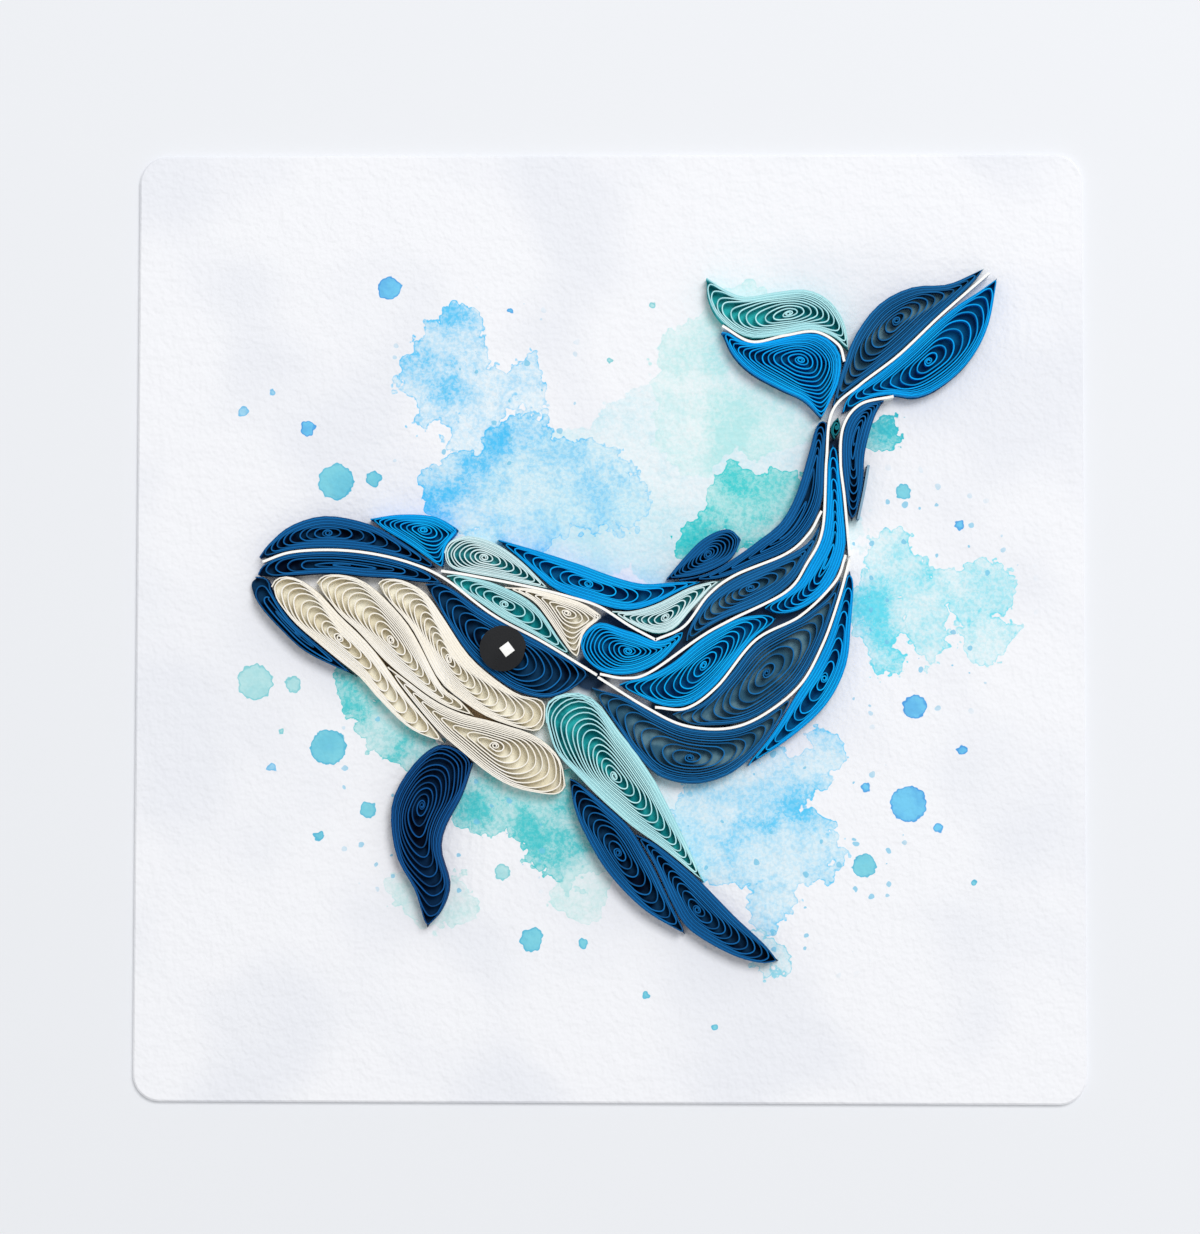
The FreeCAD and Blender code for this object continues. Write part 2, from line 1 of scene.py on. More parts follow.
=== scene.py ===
"""Dressed model of a quilled paper picture: a whale of rolled paper strips on a square watercolour card.

Each roll and each single strip of the frame is made again in thin paper with its real number of turns. The
eye becomes a tight black roll with a square glint, and the card keeps its solid and gets its painted paper.
Places in the tables are pixels of the photograph, 1200 by 1234, in which the outlines were read, and
Template turns them into millimetres on the card. Other lengths are in millimetres, unless a docstring says
otherwise, and become metres where a mesh is made.
"""

import logging
import math
import random
from bisect import bisect_left
from dataclasses import dataclass, field
from enum import Enum

import bpy
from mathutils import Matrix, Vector
from mathutils.kdtree import KDTree

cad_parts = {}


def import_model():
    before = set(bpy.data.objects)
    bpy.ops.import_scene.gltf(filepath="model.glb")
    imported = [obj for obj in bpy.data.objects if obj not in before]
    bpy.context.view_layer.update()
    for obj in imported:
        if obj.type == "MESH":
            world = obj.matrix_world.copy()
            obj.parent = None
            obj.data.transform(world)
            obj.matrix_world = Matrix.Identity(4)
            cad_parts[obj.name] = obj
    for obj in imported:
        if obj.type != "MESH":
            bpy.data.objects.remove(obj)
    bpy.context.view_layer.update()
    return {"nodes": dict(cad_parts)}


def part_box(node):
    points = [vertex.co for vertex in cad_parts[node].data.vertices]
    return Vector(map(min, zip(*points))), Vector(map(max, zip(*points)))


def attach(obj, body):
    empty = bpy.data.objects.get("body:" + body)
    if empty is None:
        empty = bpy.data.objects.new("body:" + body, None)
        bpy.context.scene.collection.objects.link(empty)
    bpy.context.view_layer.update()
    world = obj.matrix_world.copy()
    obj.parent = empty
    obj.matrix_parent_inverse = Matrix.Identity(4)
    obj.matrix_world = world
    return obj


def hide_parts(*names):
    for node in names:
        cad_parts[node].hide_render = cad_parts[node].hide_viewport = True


LOG = logging.getLogger("quilled_whale")

Pixel = tuple[float, float]
Colour = tuple[int, int, int]
Span = tuple[float, float]
Triple = tuple[float, float, float]

MM = 0.001
BODY = "root"
SHARP_ANGLE = math.radians(38)
SAME_PLACE = 1e-6
NO_LENGTH = 1e-9

# In millimetres: how high the rolls' upper edges stand, and how far the lowest layers stay under that.
STRIP_TOP = 4.2
UNEVEN_TOP = 0.10


def linear(colour: Colour) -> tuple[float, float, float, float]:
    """Turns a colour in screen bytes into the linear colour that a shader holds.

    Args:
        colour: Red, green and blue from 0 to 255.

    Returns:
        Linear red, green, blue and full opacity.
    """
    shares = [byte / 255.0 for byte in colour]
    light = [share / 12.92 if share <= 0.04045 else ((share + 0.055) / 1.055) ** 2.4 for share in shares]
    return (light[0], light[1], light[2], 1.0)


def scaled(colour: Colour, factor: float, lift: int = 0) -> Colour:
    """Darkens or lightens a colour.

    Args:
        colour: Red, green and blue from 0 to 255.
        factor: What each of them is multiplied by.
        lift: What is then added to each.

    Returns:
        The new colour.
    """
    return tuple(min(int(byte * factor) + lift, 255) for byte in colour)


def deselect() -> None:
    """Deselects everything, the nodes of the frame among them."""
    bpy.ops.object.select_all(action="DESELECT")


def make_active(piece: bpy.types.Object) -> None:
    """Selects one piece alone, so that the next operator works on it."""
    deselect()
    piece.select_set(True)
    bpy.context.view_layer.objects.active = piece


def paint(piece: bpy.types.Object, material: bpy.types.Material) -> None:
    """Gives a piece one material and no other."""
    piece.data.materials.clear()
    piece.data.materials.append(material)


# The shader's values as things that can be added, moved and mixed.


class Wire:
    """What one node of a material passes on to the next."""

    def __init__(self, bench: "Bench", output: bpy.types.NodeSocket) -> None:
        """Keeps the material's bench and the output."""
        self.bench = bench
        self.output = output


class Bench:
    """Adds the nodes of one material, always in the same way."""

    def __init__(self, tree: bpy.types.NodeTree) -> None:
        """Keeps the material's tree."""
        self.tree = tree

    def feed(self, socket: bpy.types.NodeSocket, value: object) -> None:
        """Links a wire to a socket, or writes a plain value on it."""
        if isinstance(value, Wire):
            self.tree.links.new(value.output, socket)
        else:
            socket.default_value = value

    def node(self, kind: str, settings: dict[str, object],
             sockets: dict[str | int, object]) -> bpy.types.Node:
        """Adds one node.

        Args:
            kind: The node's type.
            settings: Its settings, such as the name of an arithmetic step, which are set first.
            sockets: The value or the wire for each socket, by the socket's name or number.

        Returns:
            The node.
        """
        node = self.tree.nodes.new(kind)
        for name, value in settings.items():
            setattr(node, name, value)
        for name, value in sockets.items():
            self.feed(node.inputs[name], value)
        return node


class Tone(Wire):
    """One value in a material, which is added to, multiplied and compared like a number."""

    def _math(self, operation: str, *others: "Tone | float", clamp: bool = False) -> "Tone":
        """Makes one arithmetic step of this tone with others.

        Args:
            operation: The step's name.
            others: The second and third value, where the step has them.
            clamp: Whether the result stays between 0 and 1.

        Returns:
            The result.
        """
        settings = {"operation": operation, "use_clamp": clamp}
        node = self.bench.node("ShaderNodeMath", settings, dict(enumerate((self, *others))))
        return Tone(self.bench, node.outputs[0])

    def __add__(self, other: "Tone | float") -> "Tone":
        """Sum of two tones."""
        return self._math("ADD", other)

    def __sub__(self, other: "Tone | float") -> "Tone":
        """Difference of two tones."""
        return self._math("SUBTRACT", other)

    def __rsub__(self, other: float) -> "Tone":
        """A number less this tone."""
        return self._math("MULTIPLY", -1.0) + other

    def __mul__(self, other: "Tone | float") -> "Tone":
        """Product of two tones."""
        return self._math("MULTIPLY", other)

    __radd__ = __add__
    __rmul__ = __mul__

    def lesser(self, other: "Tone") -> "Tone":
        """The smaller of two tones."""
        return self._math("MINIMUM", other)

    def joined(self, other: "Tone", blend: float) -> "Tone":
        """The smaller of two tones, rounded where they meet."""
        return self._math("SMOOTH_MIN", other, blend)

    def held(self) -> "Tone":
        """The tone kept between 0 and 1."""
        return self._math("ADD", 0.0, clamp=True)

    def rise(self, span: Span, start: float = 0.0, end: float = 1.0) -> "Tone":
        """Eases from one value to another while this tone crosses a span.

        Args:
            span: The tone at which the result begins to change, and the tone at which the change is complete.
            start: The result below the span.
            end: The result above the span.

        Returns:
            The eased tone.
        """
        sockets = {"Value": self, "From Min": span[0], "From Max": span[1], "To Min": start, "To Max": end}
        node = self.bench.node("ShaderNodeMapRange", {"interpolation_type": "SMOOTHSTEP"}, sockets)
        return Tone(self.bench, node.outputs["Result"])

    def fall(self, span: Span) -> "Tone":
        """Eases from 1 down to 0 while this tone crosses a span."""
        return self.rise(span, 1.0, 0.0)


@dataclass(frozen=True)
class Clouds:
    """A cloudy field: the width of its patches in millimetres, its finer layers and how strong they are."""

    size: float
    detail: float
    rough: float = 0.5


class Place(Wire):
    """A place on the piece, in millimetres, from which distances and mottling are read."""

    DIMENSIONS = "3D"

    def _vector(self, operation: str, *others: "Place | Triple") -> bpy.types.Node:
        """Makes one vector step of this place with others, and gives its node."""
        return self.bench.node("ShaderNodeVectorMath", {"operation": operation},
                               dict(enumerate((self, *others))))

    def __add__(self, other: "Place | Triple") -> "Place":
        """The place moved by another."""
        return type(self)(self.bench, self._vector("ADD", other).outputs[0])

    def __mul__(self, factors: Triple) -> "Place":
        """The place stretched along each axis."""
        return type(self)(self.bench, self._vector("MULTIPLY", factors).outputs[0])

    def height(self) -> Tone:
        """The height above the floor, in millimetres."""
        return Tone(self.bench, self.bench.node("ShaderNodeSeparateXYZ", {}, {0: self}).outputs["Z"])

    def distance(self, point: Triple) -> Tone:
        """How far the place lies from a point."""
        return Tone(self.bench, self._vector("DISTANCE", point).outputs["Value"])

    def _mottle(self, clouds: Clouds) -> bpy.types.Node:
        """Makes a cloudy field, and gives its node."""
        sockets = {"Vector": self, "Scale": 1.0 / clouds.size, "Detail": clouds.detail,
                   "Roughness": clouds.rough}
        return self.bench.node("ShaderNodeTexNoise", {"noise_dimensions": self.DIMENSIONS}, sockets)

    def mottle(self, clouds: Clouds) -> Tone:
        """A cloudy tone around one half."""
        return Tone(self.bench, self._mottle(clouds).outputs["Fac"])

    def ragged(self, clouds: Clouds, reach: float) -> "Place":
        """The place pushed about by a cloudy field.

        Args:
            clouds: The field.
            reach: How far it is pushed at most, in millimetres.

        Returns:
            The moved place.
        """
        push = Place(self.bench, self._mottle(clouds).outputs["Color"]) + (-0.5, -0.5, -0.5)
        return self + push * (2 * reach, 2 * reach, 0.0)

    def cells(self, size: float) -> tuple[Tone, Tone]:
        """Splits the surface into cells.

        Args:
            size: Width of the cells in millimetres.

        Returns:
            How far the place lies from its cell's heart, in cells, and the cell's own chance value.
        """
        sockets = {"Vector": self, "Scale": 1.0 / size}
        node = self.bench.node("ShaderNodeTexVoronoi", {"voronoi_dimensions": self.DIMENSIONS}, sockets)
        colour = Wire(self.bench, node.outputs["Color"])
        parts = self.bench.node("ShaderNodeSeparateXYZ", {}, {0: colour})
        return Tone(self.bench, node.outputs["Distance"]), Tone(self.bench, parts.outputs["X"])


class FlatPlace(Place):
    """A place on a flat sheet, whose mottling doesn't change with the height."""

    DIMENSIONS = "2D"


class Pigment:
    """A colour in a material, which can be covered by another colour.

    The numbers are those of the colour sockets on the node that mixes two values.
    """

    UNDER = 6
    OVER = 7
    MIXED = 2

    def __init__(self, bench: Bench, value: "Wire | Colour") -> None:
        """Keeps the material's bench and the colour, plain or made by nodes."""
        self.bench = bench
        self.value = value if isinstance(value, Wire) else linear(value)

    def covered(self, other: "Pigment | Colour", share: Tone) -> "Pigment":
        """Lays another colour over this one.

        Args:
            other: The colour on top.
            share: How much of it covers, from 0 to 1.

        Returns:
            The colour that is seen.
        """
        top = other if isinstance(other, Pigment) else Pigment(self.bench, other)
        node = self.bench.node("ShaderNodeMix", {"data_type": "RGBA"},
                               {"Factor": share, self.UNDER: self.value, self.OVER: top.value})
        return Pigment(self.bench, Wire(self.bench, node.outputs[self.MIXED]))


@dataclass
class Finish:
    """A material under construction: its nodes, its shader and the ways into it."""

    name: str
    roughness: float
    specular: float
    material: bpy.types.Material = field(init=False)
    bench: Bench = field(init=False)
    shader: bpy.types.Node = field(init=False)

    def __post_init__(self) -> None:
        """Makes the material with its one shader."""
        self.material = bpy.data.materials.new(self.name)
        self.material.use_nodes = True
        self.bench = Bench(self.material.node_tree)
        self.shader = self.material.node_tree.nodes["Principled BSDF"]
        self.shader.inputs["Roughness"].default_value = self.roughness
        self.shader.inputs["Specular IOR Level"].default_value = self.specular

    def place(self) -> Place:
        """The place on the piece in millimetres."""
        coordinates = self.bench.node("ShaderNodeTexCoord", {}, {})
        metres = Place(self.bench, coordinates.outputs["Object"])
        return metres * (1.0 / MM, 1.0 / MM, 1.0 / MM)

    def upward(self) -> Tone:
        """How much the surface faces up, from -1 to 1."""
        geometry = self.bench.node("ShaderNodeNewGeometry", {}, {})
        return Place(self.bench, geometry.outputs["True Normal"]).height()

    def colour(self, pigment: Pigment) -> None:
        """Gives the shader its colour."""
        self.bench.feed(self.shader.inputs["Base Color"], pigment.value)

    def grain(self, height: Tone, depth: float, strength: float) -> None:
        """Gives the surface its fine relief.

        Args:
            height: The relief, from 0 to 1.
            depth: How deep it is, in millimetres.
            strength: How much of it shows.
        """
        bump = self.bench.node("ShaderNodeBump", {},
                               {"Distance": depth * MM, "Strength": strength, "Height": height})
        self.bench.feed(self.shader.inputs["Normal"], Wire(self.bench, bump.outputs["Normal"]))


@dataclass(frozen=True)
class PaperSurface:
    """What all quilling papers share: fibres, drifting tone, the painted shade of the lower layers, and the
    raised sheets of painted shade and light that show between the turns.

    Lengths are in millimetres. A span says between which values of a field the change takes place, and a
    share says how much of a colour covers at most.
    """

    roughness: float = 0.85
    specular: float = 0.15
    fibres: Clouds = Clouds(0.22, 1.0, 0.6)
    fibre_stretch: Triple = (1.0, 1.0, 0.25)
    fibre_span: Span = (0.48, 0.70)
    fibre_tone: float = 0.82
    fibre_share: float = 0.35
    drift: Clouds = Clouds(7.0, 0.0)
    drift_span: Span = (0.42, 0.70)
    drift_tone: float = 1.08
    drift_lift: int = 8
    drift_share: float = 0.45
    facing_span: Span = (0.35, 0.80)
    # Painted shade: how much the lower layers' edges are darkened.
    sunk_shade_share: float = 0.85
    grain_depth: float = 0.03
    grain_strength: float = 0.5
    # The raised sheet of painted shade and light that shows between the turns.
    gap_shade_roughness: float = 0.9
    gap_shade_specular: float = 0.1
    gap_shade_clouds: Clouds = Clouds(4.0, 3.0, 0.55)
    gap_shade_span: Span = (0.40, 0.60)
    gap_shade_grain_depth: float = 0.05
    gap_shade_grain_strength: float = 0.4


@dataclass(frozen=True)
class PaperFinish:
    """Coloured quilling paper: the cut edge that faces up, painted paler where light falls on it, the two
    faces, painted darker where they stand in shade, and the painted shade and light between the turns.

    The last number is the painted shade of the layers that stand lower than the rest.
    """

    slot: str
    edge: Colour
    shaded_face: Colour
    gap_shade: Colour
    gap_shade_deep: Colour
    sunk_shade: float = 0.66
    surface: PaperSurface = PaperSurface()

    def make(self, name: str) -> bpy.types.Material:
        """Makes the paper's material.

        Args:
            name: The material's name.

        Returns:
            The material: a paler fibrous edge and darker mottled faces as painted light and shade, painted
                shade
            on the lower layers, and a fine felt grain.
        """
        look = self.surface
        finish = Finish(name, look.roughness, look.specular)
        place = finish.place()
        fibres = (place * look.fibre_stretch).mottle(look.fibres)
        drift = place.mottle(look.drift)
        # Painted light and shade: upward faces take the paler edge colour, as light falls from above, and the
        # sides the darker face colour.
        facing = finish.upward().rise(look.facing_span)
        pigment = Pigment(finish.bench, self.shaded_face).covered(self.edge, facing)
        shade = scaled(self.edge, look.fibre_tone)
        pigment = pigment.covered(shade, fibres.rise(look.fibre_span) * look.fibre_share)
        light = scaled(self.edge, look.drift_tone, look.drift_lift)
        pigment = pigment.covered(light, drift.rise(look.drift_span) * facing * look.drift_share)
        # Painted shade: the layers whose edges stand lower are darkened, as their higher neighbours shade
        # them.
        depth = place.height().fall((STRIP_TOP - UNEVEN_TOP, STRIP_TOP))
        pigment = pigment.covered(scaled(self.edge, self.sunk_shade), depth * facing * look.sunk_shade_share)
        finish.colour(pigment)
        finish.grain(fibres, look.grain_depth, look.grain_strength)
        return finish.material

    def make_gap_shade(self, name: str) -> bpy.types.Material:
        """Makes the painted shade and light that shows between the turns, on a raised sheet under them.

        Args:
            name: The material's name.

        Returns:
            The material, a mottled wash of painted shade and light in the colour of the gaps.
        """
        look = self.surface
        finish = Finish(name, look.gap_shade_roughness, look.gap_shade_specular)
        clouds = finish.place().mottle(look.gap_shade_clouds)
        deep = clouds.rise(look.gap_shade_span)
        finish.colour(Pigment(finish.bench, self.gap_shade).covered(self.gap_shade_deep, deep))
        finish.grain(clouds, look.gap_shade_grain_depth, look.gap_shade_grain_strength)
        return finish.material


class Paper(Enum):
    """The papers that the whale is rolled from."""

    # Columns: slot, the edge, the darker face as painted shade, the painted shade and light between the
    # turns, pale and deep, and the painted shade of the lower layers.
    NAVY = PaperFinish(
        "paper_navy", (16, 102, 168), (7, 60, 118), (18, 62, 98), (2, 15, 38), 0.74)
    MID_NAVY = PaperFinish(
        "paper_navy", (22, 106, 168), (14, 76, 128), (112, 152, 166), (60, 106, 130), 0.74)
    DARK_NAVY = PaperFinish(
        "paper_navy", (14, 84, 148), (6, 46, 98), (12, 48, 84), (2, 14, 36), 0.70)
    BLUE = PaperFinish(
        "paper_blue", (0, 170, 252), (2, 132, 214), (8, 100, 146), (3, 62, 104), 0.80)
    AQUA = PaperFinish(
        "paper_aqua", (184, 240, 247), (96, 204, 212), (52, 190, 190), (18, 134, 140), 0.90)
    PALE_AQUA = PaperFinish(
        "paper_aqua", (214, 244, 248), (140, 216, 222), (96, 196, 198), (36, 146, 154), 0.91)
    TEAL = PaperFinish(
        "paper_teal", (20, 128, 142), (8, 88, 102), (8, 76, 90), (4, 44, 56), 0.74)
    CREAM = PaperFinish(
        "paper_cream", (255, 249, 237), (254, 246, 226), (244, 243, 232), (226, 221, 202), 0.96)
    WHITE = PaperFinish(
        "paper_white", (255, 255, 252), (246, 246, 242), (230, 230, 230), (200, 200, 200), 0.96)
    GREY_BLUE = PaperFinish(
        "paper_grey_blue", (138, 170, 192), (96, 132, 160), (96, 132, 160), (60, 90, 110))
    BLACK = PaperFinish(
        "paper_black", (38, 39, 41), (20, 20, 22), (12, 12, 13), (8, 8, 9), 0.85)


# The painted card.


@dataclass(frozen=True)
class Blot:
    """One round patch of paint: its place and its radius, in pixels."""

    place: Pixel
    radius: float


@dataclass(frozen=True)
class Wash:
    """A field of thin paint: round patches run together, with a ragged edge and deeper pools.

    The body is how much of it covers where it is thinnest, the edge is half the width of its outline in
    millimetres, and the rim is how much deeper its dried edge is.
    """

    name: str
    pale: Colour
    deep: Colour
    patches: tuple[Blot, ...]
    pools: tuple[Blot, ...]
    body: float
    edge: float
    rim: float


@dataclass(frozen=True)
class Drops:
    """Drops of one paint that fell beside the washes."""

    name: str
    pale: Colour
    deep: Colour
    spots: tuple[Blot, ...]


WASHES = (
    Wash("pale_sky", (224, 242, 246), (192, 230, 241),
         (Blot((575, 500), 85), Blot((655, 480), 60), Blot((700, 500), 60), Blot((790, 470), 60),
          Blot((835, 520), 40), Blot((650, 545), 40), Blot((705, 552), 40), Blot((640, 430), 40)),
         (Blot((620, 545), 50), Blot((560, 520), 32)), 0.46, 0.35, 0.12),
    Wash("light_blue_cloud", (216, 239, 248), (98, 200, 246),
         (Blot((447, 352), 32), Blot((428, 395), 32), Blot((475, 392), 32), Blot((520, 388), 24),
          Blot((470, 430), 24), Blot((458, 326), 24), Blot((410, 385), 18)),
         (Blot((446, 330), 24), Blot((425, 384), 18)), 0.42, 0.10, 0.26),
    Wash("main_blue", (196, 234, 246), (78, 194, 246),
         (Blot((472, 492), 50), Blot((520, 450), 40), Blot((575, 470), 40), Blot((520, 520), 50),
          Blot((600, 505), 32)),
         (Blot((440, 500), 24), Blot((470, 450), 18), Blot((505, 428), 18)), 0.46, 0.10, 0.24),
    Wash("mint", (220, 243, 243), (184, 233, 234),
         (Blot((690, 350), 40), Blot((735, 320), 40), Blot((700, 410), 60), Blot((770, 400), 50),
          Blot((790, 350), 32)),
         (Blot((700, 345), 24), Blot((740, 430), 32)), 0.40, 0.22, 0.14),
    Wash("teal_green", (150, 230, 226), (48, 204, 208),
         (Blot((752, 492), 32), Blot((720, 512), 24), Blot((700, 535), 18), Blot((790, 500), 32),
          Blot((775, 530), 32), Blot((738, 535), 18)),
         (Blot((779, 489), 18), Blot((750, 500), 18), Blot((700, 532), 12)), 0.50, 0.10, 0.22),
    Wash("tail_teal", (118, 218, 222), (44, 190, 206),
         (Blot((886, 424), 18), Blot((878, 444), 12)), (Blot((888, 425), 12),), 0.60, 0.10, 0.30),
    Wash("right_turquoise", (204, 240, 245), (104, 220, 238),
         (Blot((890, 575), 32), Blot((880, 625), 32), Blot((930, 605), 32), Blot((975, 580), 32),
          Blot((985, 632), 24), Blot((935, 640), 24), Blot((878, 662), 18)),
         (Blot((872, 612), 24), Blot((880, 652), 18), Blot((900, 590), 12)), 0.44, 0.10, 0.24),
    Wash("lower_right_blue", (198, 235, 247), (92, 202, 247),
         (Blot((740, 800), 50), Blot((706, 796), 32), Blot((758, 772), 24), Blot((800, 790), 32),
          Blot((830, 750), 24), Blot((770, 850), 40), Blot((815, 850), 24), Blot((770, 905), 24),
          Blot((720, 850), 24)),
         (Blot((795, 820), 18), Blot((752, 838), 12)), 0.44, 0.10, 0.24),
    Wash("lower_left_teal", (170, 227, 228), (76, 200, 206),
         (Blot((365, 690), 24), Blot((395, 730), 32), Blot((420, 770), 24), Blot((480, 800), 40),
          Blot((540, 830), 40), Blot((585, 850), 32), Blot((510, 780), 40), Blot((560, 800), 32)),
         (Blot((368, 690), 18), Blot((400, 750), 12), Blot((540, 846), 24), Blot((480, 812), 18),
          Blot((560, 812), 18)), 0.46, 0.10, 0.22),
    Wash("lower_mint", (220, 241, 241), (182, 228, 228),
         (Blot((435, 895), 32), Blot((405, 885), 18), Blot((585, 885), 24)), (), 0.40, 0.14, 0.2),
    Wash("lower_pale_ring", (222, 242, 246), (150, 218, 236),
         (Blot((765, 950), 24),), (), 0.34, 0.08, 0.45),
)

DROPS = (
    Drops("turquoise", (112, 208, 226), (54, 180, 214),
          (Blot((333, 481), 18), Blot((371, 478), 8), Blot((327, 748), 18), Blot((367, 811), 8),
           Blot((318, 837), 5), Blot((532, 940), 12), Blot((583, 944), 5), Blot((864, 866), 12),
           Blot((973, 882), 3), Blot((646, 995), 3), Blot((715, 1027), 3), Blot((904, 491), 8))),
    Drops("deep_blue", (96, 200, 242), (24, 150, 224),
          (Blot((386, 285), 12), Blot((508, 308), 3), Blot((304, 427), 8), Blot((915, 707), 12),
           Blot((962, 750), 5), Blot((908, 804), 18), Blot((938, 828), 5), Blot((960, 524), 5),
           Blot((866, 788), 5))),
    Drops("pale_teal", (184, 230, 232), (122, 206, 214),
          (Blot((253, 683), 18), Blot((291, 685), 8), Blot((279, 732), 3), Blot((502, 873), 8),
           Blot((609, 359), 3), Blot((652, 302), 3))),
    Drops("clear_blue", (150, 212, 242), (92, 184, 232),
          (Blot((239, 410), 5), Blot((268, 390), 3), Blot((270, 769), 5))),
)

# Where painted shade lies on the card between the loops of the body and of the throat, and where specks may
# fall.
SHADE_UNDER_BODY = (
    Blot((345, 545), 20), Blot((400, 556), 20), Blot((525, 636), 32), Blot((620, 640), 32),
    Blot((680, 650), 44), Blot((745, 650), 54), Blot((795, 610), 44), Blot((690, 720), 44),
    Blot((590, 674), 20), Blot((828, 510), 10), Blot((836, 445), 10), Blot((845, 385), 10),
)
SHADE_UNDER_THROAT = (Blot((345, 628), 32), Blot((410, 655), 44), Blot((485, 722), 32))
NEAR_WASHES = (
    Blot((480, 400), 100), Blot((900, 600), 120), Blot((790, 850), 120), Blot((450, 790), 120),
)


@dataclass(frozen=True)
class Template:
    """How pixels of the photograph become millimetres on the card.

    The whale is so many pixels long, and so many millimetres. The middle is the pixel at the card's middle.
    """

    pixel_span: float = 795.0
    whale_span: float = 125.2
    middle: Pixel = (608.6, 626.5)

    def unit(self) -> float:
        """The width of one pixel on the card, in millimetres."""
        return self.whale_span / self.pixel_span

    def place(self, pixel: Pixel) -> Vector:
        """Gives the place on the card of a pixel.

        Args:
            pixel: The pixel, counted to the right and down.

        Returns:
            The place in millimetres from the card's middle.
        """
        across = (pixel[0] - self.middle[0]) * self.unit()
        up = (self.middle[1] - pixel[1]) * self.unit()
        return Vector((across, up))


@dataclass
class WetField:
    """The places and cloudy fields of the card that all its washes and drops share.

    Sizes and reaches are in millimetres. The lobes scallop the outline of a wash and the wavelets that of a
    drop: each has the width of its cells, how far they reach out and how far in they begin.
    """

    level: FlatPlace
    wash_push: Clouds = Clouds(15.0, 5.0, 0.62)
    wash_reach: float = 7.0
    drop_push: Clouds = Clouds(1.4, 1.0)
    drop_reach: float = 0.3
    cloud_field: Clouds = Clouds(8.0, 5.0, 0.68)
    cloud_span: Span = (0.38, 0.64)
    grain_field: Clouds = Clouds(0.7, 2.0, 0.7)
    grain_span: Span = (0.40, 0.60)
    lobe: Triple = (1.5, 1.3, 0.5)
    wavelet: Triple = (0.85, 0.42, 0.16)
    wash_place: FlatPlace = field(init=False)
    drop_place: FlatPlace = field(init=False)
    clouds: Tone = field(init=False)
    grains: Tone = field(init=False)
    lobes: Tone = field(init=False)
    wavelets: Tone = field(init=False)

    def __post_init__(self) -> None:
        """Makes the shared fields once."""
        self.wash_place = self.level.ragged(self.wash_push, self.wash_reach)
        self.drop_place = self.level.ragged(self.drop_push, self.drop_reach)
        self.clouds = self.level.mottle(self.cloud_field).rise(self.cloud_span)
        self.grains = self.level.mottle(self.grain_field).rise(self.grain_span)
        self.lobes = self._scallops(self.level, self.lobe)
        self.wavelets = self._scallops(self.drop_place, self.wavelet)

    def _scallops(self, place: FlatPlace, shape: Triple) -> Tone:
        """How far an outline is pushed out or in by its cells, in millimetres.

        Args:
            place: The place that is split into cells.
            shape: The cells' width, how far they reach out and how far in they begin.

        Returns:
            The push.
        """
        size, reach, start = shape
        return place.cells(size)[0] * reach - start


@dataclass(frozen=True)
class Brushwork:
    """How paint dries on the card.

    A join is how far patches round into each other, and a span says where across the outline the change takes
    place, both in millimetres and less than nothing inside. A load is how much of the deep colour a thing
    brings, and a cover is how much of the paper the paint hides.
    """

    wash_join: float = 2.5
    cloud_load: float = 0.40
    grain_load: float = 0.22
    pool_span: Span = (-3.0, 4.5)
    pool_load: float = 0.45
    rim_span: Span = (-0.55, -0.05)
    rim_gain: float = 1.5
    load_cover: float = 0.7
    drop_join: float = 0.0
    drop_span: Span = (-0.05, 0.07)
    drop_rim_span: Span = (-0.40, -0.06)
    drop_cloud_load: float = 0.45
    drop_rim_load: float = 0.75
    drop_cover: float = 0.92
    # Painted shade on the card under the rolls: how it joins, where it fades, how much covers and its
    # colours.
    shade_join: float = 2.0
    shade_span: Span = (-0.7, 0.5)
    shade_cover: float = 0.98
    body_shade: Colour = (22, 56, 88)
    throat_shade: Colour = (170, 146, 116)
    speck_colour: Colour = (120, 200, 232)
    speck_join: float = 2.0
    speck_span: Span = (-4.0, 4.0)
    speck_cells: float = 2.6
    speck_chance: Span = (0.72, 1.0)
    speck_size: float = 0.20
    speck_edge: Span = (0.0, 0.03)
    speck_cover: float = 0.8


@dataclass(frozen=True)
class Board:
    """Cold-pressed watercolour board: its whites, its pebbles and its felt. Lengths are in millimetres."""

    white: Colour = (244, 245, 249)
    cool: Colour = (236, 238, 244)
    cool_field: Clouds = Clouds(26.0, 1.0)
    cool_span: Span = (0.38, 0.7)
    facing_span: Span = (0.5, 0.9)
    roughness: float = 0.9
    specular: float = 0.2
    pebbles: Clouds = Clouds(0.95, 1.0)
    pebble_share: float = 0.7
    felt: Clouds = Clouds(3.0, 0.0)
    felt_share: float = 0.6
    grain_depth: float = 0.34
    grain_strength: float = 0.6


